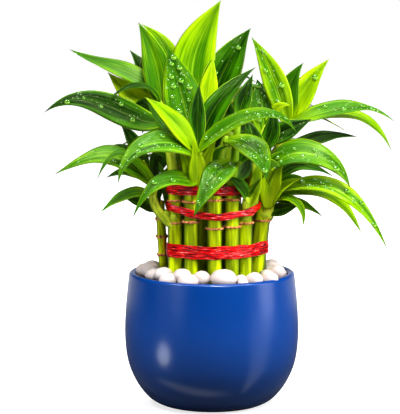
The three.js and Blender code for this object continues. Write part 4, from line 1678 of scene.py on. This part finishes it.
@dataclass
class PebbleBed:
    """The heap of white pebbles: those that show, those round the back, and small ones below.

    shown gives each pebble's top in the picture, its width and its height. around gives rows of
    them: their distance out, number, compass angles of both ends, and width.
    """

    finishes: Finishes
    shown: tuple[tuple[Triple, float, float], ...] = (
        ((152.5, 255, 14), 16, 12), ((150.5, 260, -10), 18, 14), ((153.5, 265, -25), 15, 12),
        ((163.5, 263.5, -33), 17, 13), ((169, 270, -45), 17.5, 12), ((182.5, 263.5, -46), 16.5, 14),
        ((189, 274, -54), 19, 12), ((201.5, 270, -52), 16, 13), ((223.5, 269, -54), 23, 16),
        ((241, 269, -49), 11, 10), ((243, 275.5, -56), 9.5, 9), ((254.5, 267, -46), 15, 13),
        ((270, 269, -41), 14.5, 12), ((267.5, 265, -28), 12, 11), ((276, 262, -14), 16, 14),
    )
    around: tuple[tuple[float, int, float, float, float], ...] = (
        (56, 10, 92, 262, 17.5), (50, 3, 66, 118, 12),
    )
    seed: int = 40
    fillers: int = 150
    shares: Triple = (1.0, 0.82, 0.8)
    filler_shares: Triple = (1.0, 0.85, 0.75)
    filler_least: float = 7.0
    filler_span: float = 6.0
    scatter: float = 3.0
    sunk: float = 0.42
    cane_clear: float = 0.45

    def build(self) -> None:
        """Builds and seats the heap."""
        skin = Skin()
        draw = Draws(self.seed)
        for top, width, height in self.shown:
            centre = PICTURE.seen(top)
            centre.z = min(centre.z - height / 2, gravel_height(centre) + height * self.sunk)
            add_stone(skin, centre, (width, width * self.shares[1], height))
        for radius, count, start, end, width in self.around:
            for i in range(count):
                out = compass(start + (end - start) * i / (count - 1))
                spot = out * (radius + (draw() - 0.5) * self.scatter)
                size = width * (0.9 + 0.25 * draw())
                spot.z = gravel_height(spot) + size * (0.1 + 0.2 * draw())
                add_stone(skin, spot, tuple(size * share for share in self.shares), math.pi * draw())
        for _ in range(self.fillers):
            size = self.filler_least + self.filler_span * draw()
            spot = compass(360 * draw()) * (PEBBLE_LIMIT - size * 0.5) * math.sqrt(draw())
            spot.z = gravel_height(spot) - size * self.sunk * draw()
            near = min((Vector((cane.x, cane.y, spot.z)) - spot).length for cane in CANES.values())
            turn = math.pi * draw()
            if near > CANE_RADIUS + size * self.cane_clear:
                add_stone(skin, spot, tuple(size * share for share in self.filler_shares), turn)
        seat(skin.make("pebble_heap", (self.finishes.pebble,)), "pebble", "pebbles")


# Ribbon


@dataclass(frozen=True)
class Disc:
    """Something round that a tie is pulled against."""

    x: float
    y: float
    radius: float


def tight_outline(discs: Iterable[Disc], gap: float, samples: int = 48) -> list[Vector]:
    """Finds the outline of a band pulled tight round discs.

    Args:
        discs: what it goes round.
        gap: how far it stays clear of them.
        samples: points tried round each disc.

    Returns:
        The outline's corners, seen from above, in order.
    """
    spots = sorted(
        (disc.x + (disc.radius + gap) * math.cos(angle), disc.y + (disc.radius + gap) * math.sin(angle))
        for disc in discs
        for angle in turns(samples)
    )

    def turn(o: Pair, a: Pair, b: Pair) -> float:
        """Returns which way three points turn."""
        return (a[0] - o[0]) * (b[1] - o[1]) - (a[1] - o[1]) * (b[0] - o[0])

    def chain(ordered: Iterable[Pair]) -> list[Pair]:
        """Keeps the corners that stick out.

        Args:
            ordered: the spots, sorted.

        Returns:
            One side of the outline.
        """
        side: list[Pair] = []
        for spot in ordered:
            while len(side) > 1 and turn(side[-2], side[-1], spot) <= 1e-9:
                side.pop()
            side.append(spot)
        return side[:-1]

    return [Vector((x, y, 0)) for x, y in chain(spots) + chain(reversed(spots))]


def even_loop(corners: Sequence[Vector], spacing: float) -> list[Vector]:
    """Shares points along a closed outline.

    Args:
        corners: the outline's corners.
        spacing: how far apart the points lie.

    Returns:
        The points.
    """
    spots = []
    carried = 0.0
    for i, start in enumerate(corners):
        end = corners[(i + 1) % len(corners)]
        length = (end - start).length
        at = carried
        while at < length:
            spots.append(start.lerp(end, at / length))
            at += spacing
        carried = at - length
    return spots


@dataclass
class Tie:
    """Several turns of shiny ribbon round the canes.

    keys names the canes that it holds, and extra what else it goes round. Its middle lies at
    level, or at height_at of a compass angle. wander and twist are how far a strand strays.
    """

    node: str
    keys: str
    level: float
    width: float
    gap: float
    strands: int
    finishes: Finishes
    extra: tuple[Disc, ...] = ()
    height_at: Callable[[float], float] | None = None
    strand_half: float = 0.95
    strand_thin: float = 0.34
    strand_sides: int = 10
    spacing: float = 1.6
    layers: int = 3
    first_layer: float = 0.3
    layer_span: float = 0.7
    phases: float = 50.0
    wander: float = 1.3
    wander_pitch: float = 0.07
    twist: float = 1.3
    twist_pitch: float = 0.13
    twist_shift: float = 9.0
    pleats: int = 4
    pleat: float = 0.1

    def build(self) -> None:
        """Builds and seats the tie."""
        discs = [Disc(*CANES[key].axis(self.level).xy, CANES[key].radius) for key in self.keys]
        skin = Skin()
        draw = Draws(sum(ord(letter) for letter in self.node))
        for strand in range(self.strands):
            share = strand / (self.strands - 1) - 0.5
            offset = share * (self.width - 2 * self.strand_half)
            layer = self.first_layer + self.layer_span * (strand % self.layers) / (self.layers - 1)
            outline = even_loop(tight_outline([*discs, *self.extra], self.gap + layer), self.spacing)
            self.add_strand(skin, outline, offset, draw() * self.phases)
        seat(skin.make(f"{self.node}_ribbon", (self.finishes.ribbon,)), "tie_red", self.node)

    def add_strand(self, skin: Skin, outline: Sequence[Vector], offset: float, phase: float) -> None:
        """Adds one strand.

        Args:
            skin: the skin to add to.
            outline: its path seen from above.
            offset: how far it lies above the tie's middle.
            phase: where its own wander and twist start.
        """
        rings, places = [], []
        count = len(outline)
        for i, spot in enumerate(outline):
            ahead = (outline[(i + 1) % count] - outline[i - 1]).normalized()
            out = Vector((ahead.y, -ahead.x, 0))
            angle = math.degrees(math.atan2(spot.x, -spot.y))
            level = self.height_at(angle) if self.height_at else self.level
            pitch = self.wander_pitch
            wander = noise.noise(Vector((spot.x * pitch, spot.y * pitch, phase)))
            pitch = self.twist_pitch
            stray = noise.noise(Vector((spot.x * pitch, spot.y * pitch, phase + self.twist_shift)))
            twist = self.twist * stray
            middle = Vector((spot.x, spot.y, level + offset + self.wander * wander))
            lean = (UP * math.cos(twist) + out * math.sin(twist)).normalized()
            flat = ahead.cross(lean).normalized()
            ring = []
            for turn in turns(self.strand_sides):
                pleat = self.pleat * math.cos(self.pleats * turn + phase)
                ring.append(
                    middle + lean * math.cos(turn) * self.strand_half
                    + flat * (math.sin(turn) * self.strand_thin + pleat)
                )
            rings.append(ring)
            places.append([(0.0, i / count, 0.0)] * self.strand_sides)
        skin.add_rings(rings, places, loop=True)


# The middle tie's lowest height and its rise in mm, and the sag's middle and spread in degrees
SWAG_LOW = 167.0
SWAG_RISE = 14.0
SWAG_MIDDLE = 4.0
SWAG_SPREAD = 60.0


def swag_height(angle: float) -> float:
    """Returns the middle tie's height at a compass angle: it sags at the front."""
    return SWAG_LOW + SWAG_RISE * (1 - math.exp(-(((angle - SWAG_MIDDLE) / SWAG_SPREAD) ** 2)))


def ties(finishes: Finishes) -> tuple[Tie, ...]:
    """Plans the four ties.

    Args:
        finishes: the finishes.

    Returns:
        The ties, from the lowest up.
    """
    shoots = (Disc(29.5, -35, 4.8), Disc(33.5, -26.5, 5.6))
    return (
        Tie("tie_lower", "bcefghijkmnop", level=136.8, width=11.4, gap=0.1, strands=11, finishes=finishes),
        Tie(
            "tie_middle", "bcefgdqrnopts", level=170, width=6.4, gap=0.9, strands=7,
            finishes=finishes, extra=shoots, height_at=swag_height,
        ),
        Tie("tie_upper", "bcefnopdqrst", level=189, width=8, gap=0.1, strands=8, finishes=finishes),
        Tie("tie_crown", "dqrst", level=206, width=7, gap=0.1, strands=6, finishes=finishes),
    )


# The studio


AIM_HEIGHT = 0.15


@dataclass(frozen=True)
class Lamp:
    """A soft light that looks at the middle of the plant.

    azimuth is its compass angle and elevation how high it hangs, in degrees. distance and size
    are in metres, power is in watts, and mirrored lets shiny surfaces mirror it.
    """

    name: str
    azimuth: float
    elevation: float
    distance: float
    size: Pair
    power: float
    mirrored: bool = True

    def build(self) -> None:
        """Adds the light."""
        aim = UP * AIM_HEIGHT
        rise = math.radians(self.elevation)
        spot = aim + (compass(self.azimuth) * math.cos(rise) + UP * math.sin(rise)) * self.distance
        data = bpy.data.lights.new(self.name, "AREA")
        data.shape = "ELLIPSE"
        data.size, data.size_y = self.size
        data.energy = self.power
        light = bpy.data.objects.new(self.name, data)
        light.location = spot
        light.rotation_euler = (aim - spot).to_track_quat("-Z", "Y").to_euler()
        light.visible_glossy = self.mirrored
        light.visible_camera = False
        bpy.context.collection.objects.link(light)


LAMPS = (
    Lamp("left_softbox", -62, 14, 1.4, (1.0, 1.2), 0.9),
    Lamp("right_softbox", 78, 12, 1.4, (0.7, 1.3), 8.5),
    Lamp("right_fill", 66, 18, 1.4, (0.7, 0.7), 14, mirrored=False),
    Lamp("top_lamp", 8, 60, 1.4, (0.2, 0.2), 20),
    Lamp("front_fill", 20, 33, 1.5, (0.5, 0.45), 9),
    Lamp("left_fill", -66, 12, 1.4, (0.7, 0.7), 5, mirrored=False),
    Lamp("back_fill", 180, 25, 1.5, (0.9, 0.9), 9, mirrored=False),
    Lamp("left_lamp", -67, 51, 1.4, (0.18, 0.18), 8),
    Lamp("right_lamp", 67, 51, 1.4, (0.18, 0.18), 8),
    Lamp("front_card", -45, 7, 1.4, (0.6, 0.6), 1.1),
    Lamp("low_lamp", -53, -37.5, 0.21, (0.046, 0.046), 0.034),
)


@dataclass
class Studio:
    """A pale floor, soft lights, and a surround that is white behind the plant and dim in front.

    Each glow is the surround's strength at the two ends of its ramp. A wedge of the floor at
    card_corner and an arc of it round arc_centre glow where the glaze mirrors them.
    """

    diffuse_glow: Pair = (0.02, 0.13)
    mirror_glow: Pair = (0.0, 0.9)
    overhead_glow: Pair = (0.0, 6.0)
    gamma: float = 0.87
    floor_half: float = 6.0
    floor_level: float = -0.0005
    tints: tuple[Triple, Triple] = ((0.40, 0.40, 0.41), (0.42, 0.42, 0.42))
    dim: Triple = (0.10, 0.10, 0.11)
    card_corner: Pair = (0.035, -0.064)
    arc_centre: Pair = (-0.010, 0.050)
    arc_radius: float = 0.1255

    def add_floor(self) -> None:
        """Adds the floor: pale to the eye, and dim where the glaze mirrors it."""
        mesh = bpy.data.meshes.new("pale_floor")
        half = self.floor_half
        corners = ((-half, -half), (half, -half), (half, half), (-half, half))
        mesh.from_pydata([(x, y, self.floor_level) for x, y in corners], [], [(0, 1, 2, 3)])
        floor = bpy.data.objects.new("pale_floor", mesh)
        bpy.context.collection.objects.link(floor)
        finish = Finish("floor_white", (("Roughness", 0.9), ("Emission Strength", 1.0)))
        material, bench, shader = finish.start()
        spot = bench.node("ShaderNodeTexCoord").outputs["Object"]
        rays = bench.node("ShaderNodeLightPath").outputs
        seen, mirrored = rays["Is Camera Ray"], rays["Is Glossy Ray"]
        tint = bench.mix(bench.noise(spot, 2.0), *self.tints)
        bench.join(bench.mix(seen, self.dim, tint), shader.inputs["Base Color"])
        far = bench.vector("LENGTH", spot).outputs["Value"]
        glow = bench.math("MULTIPLY", bench.ramp(far, 0.05, 0.13, (0.75, 1.1)), seen)
        behind = bench.math("MULTIPLY", self.mirrored_glow(bench, spot), mirrored)
        both = bench.mix(bench.math("ADD", glow, behind), (0, 0, 0), (1, 1, 1))
        bench.join(both, shader.inputs["Emission Color"])
        mesh.materials.append(material)

    def mirrored_glow(self, bench: Bench, spot: NodeSocket) -> NodeSocket:
        """Lays out where the floor glows in the glaze.

        Args:
            bench: the floor's bench.
            spot: the socket of the place on the floor.

        Returns:
            The socket of the glow: behind the pot, in a wedge on the right and in a low arc.
        """
        right, back, _ = bench.split(spot)
        corner_x, corner_y = self.card_corner
        aside, ahead = bench.math("SUBTRACT", right, corner_x), bench.math("SUBTRACT", corner_y, back)
        turn = bench.math("ARCTAN2", aside, ahead)
        card = bench.math("MULTIPLY", bench.ramp(turn, 0.82, 1.10), bench.ramp(turn, 1.56, 1.25, (0.0, 1.9)))
        reach = bench.vector("DISTANCE", spot, (*self.arc_centre, self.floor_level)).outputs["Value"]
        inner = bench.ramp(reach, 0.117, self.arc_radius)
        arc = bench.math("MULTIPLY", inner, bench.ramp(reach, 0.134, self.arc_radius, (0.0, 2.0)))
        arc = bench.math("MULTIPLY", arc, bench.ramp(right, -0.10, -0.04))
        card = bench.math("MULTIPLY_ADD", arc, bench.ramp(right, 0.035, -0.03), card)
        return bench.math("ADD", bench.ramp(back, 0.35, 0.7, (0.0, 0.8)), card)

    def add_surround(self) -> None:
        """Sets the world: white to the eye, and a soft glow from behind for the rest."""
        world = bpy.data.worlds.new("white_surround")
        world.use_nodes = True
        bpy.context.scene.world = world
        bench = Bench(world.node_tree)
        background = world.node_tree.nodes["Background"]
        background.inputs["Color"].default_value = (1, 1, 1, 1)
        _, back, high = bench.split(bench.node("ShaderNodeTexCoord").outputs["Generated"])
        rays = bench.node("ShaderNodeLightPath").outputs
        from_behind = bench.ramp(back, 0.4, 0.95, self.mirror_glow)
        mirrored = bench.math("MULTIPLY", from_behind, bench.ramp(high, 0.4, 0.1))
        mirrored = bench.math("ADD", mirrored, bench.ramp(high, 0.82, 0.97, self.overhead_glow))
        glow = bench.mix(rays["Is Glossy Ray"], bench.ramp(back, -0.2, 0.9, self.diffuse_glow), mirrored)
        bench.join(bench.mix(rays["Is Camera Ray"], glow, (1, 1, 1)), background.inputs["Strength"])

    def build(self) -> None:
        """Builds the floor, the surround and the lights."""
        self.add_floor()
        self.add_surround()
        view = bpy.context.scene.view_settings
        view.view_transform = "Standard"
        view.gamma = self.gamma
        for lamp in LAMPS:
            lamp.build()


def main() -> None:
    """Builds the whole scene in order."""
    logging.basicConfig(level=logging.INFO, format="%(name)s %(message)s")
    PICTURE.camera()
    Studio().build()
    finishes = Finishes()
    Pot(finishes).build()
    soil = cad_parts["soil"]
    soil.data.materials.clear()
    soil.data.materials.append(finishes.soil)
    LOG.info("%s: the solid itself in its own finish", soil.name)
    PebbleBed(finishes).build()
    for key in CANES:
        Stalk(key, finishes).build()
    for tie in ties(finishes):
        tie.build()
    bpy.context.view_layer.update()


if __name__ == "__main__":
    main()
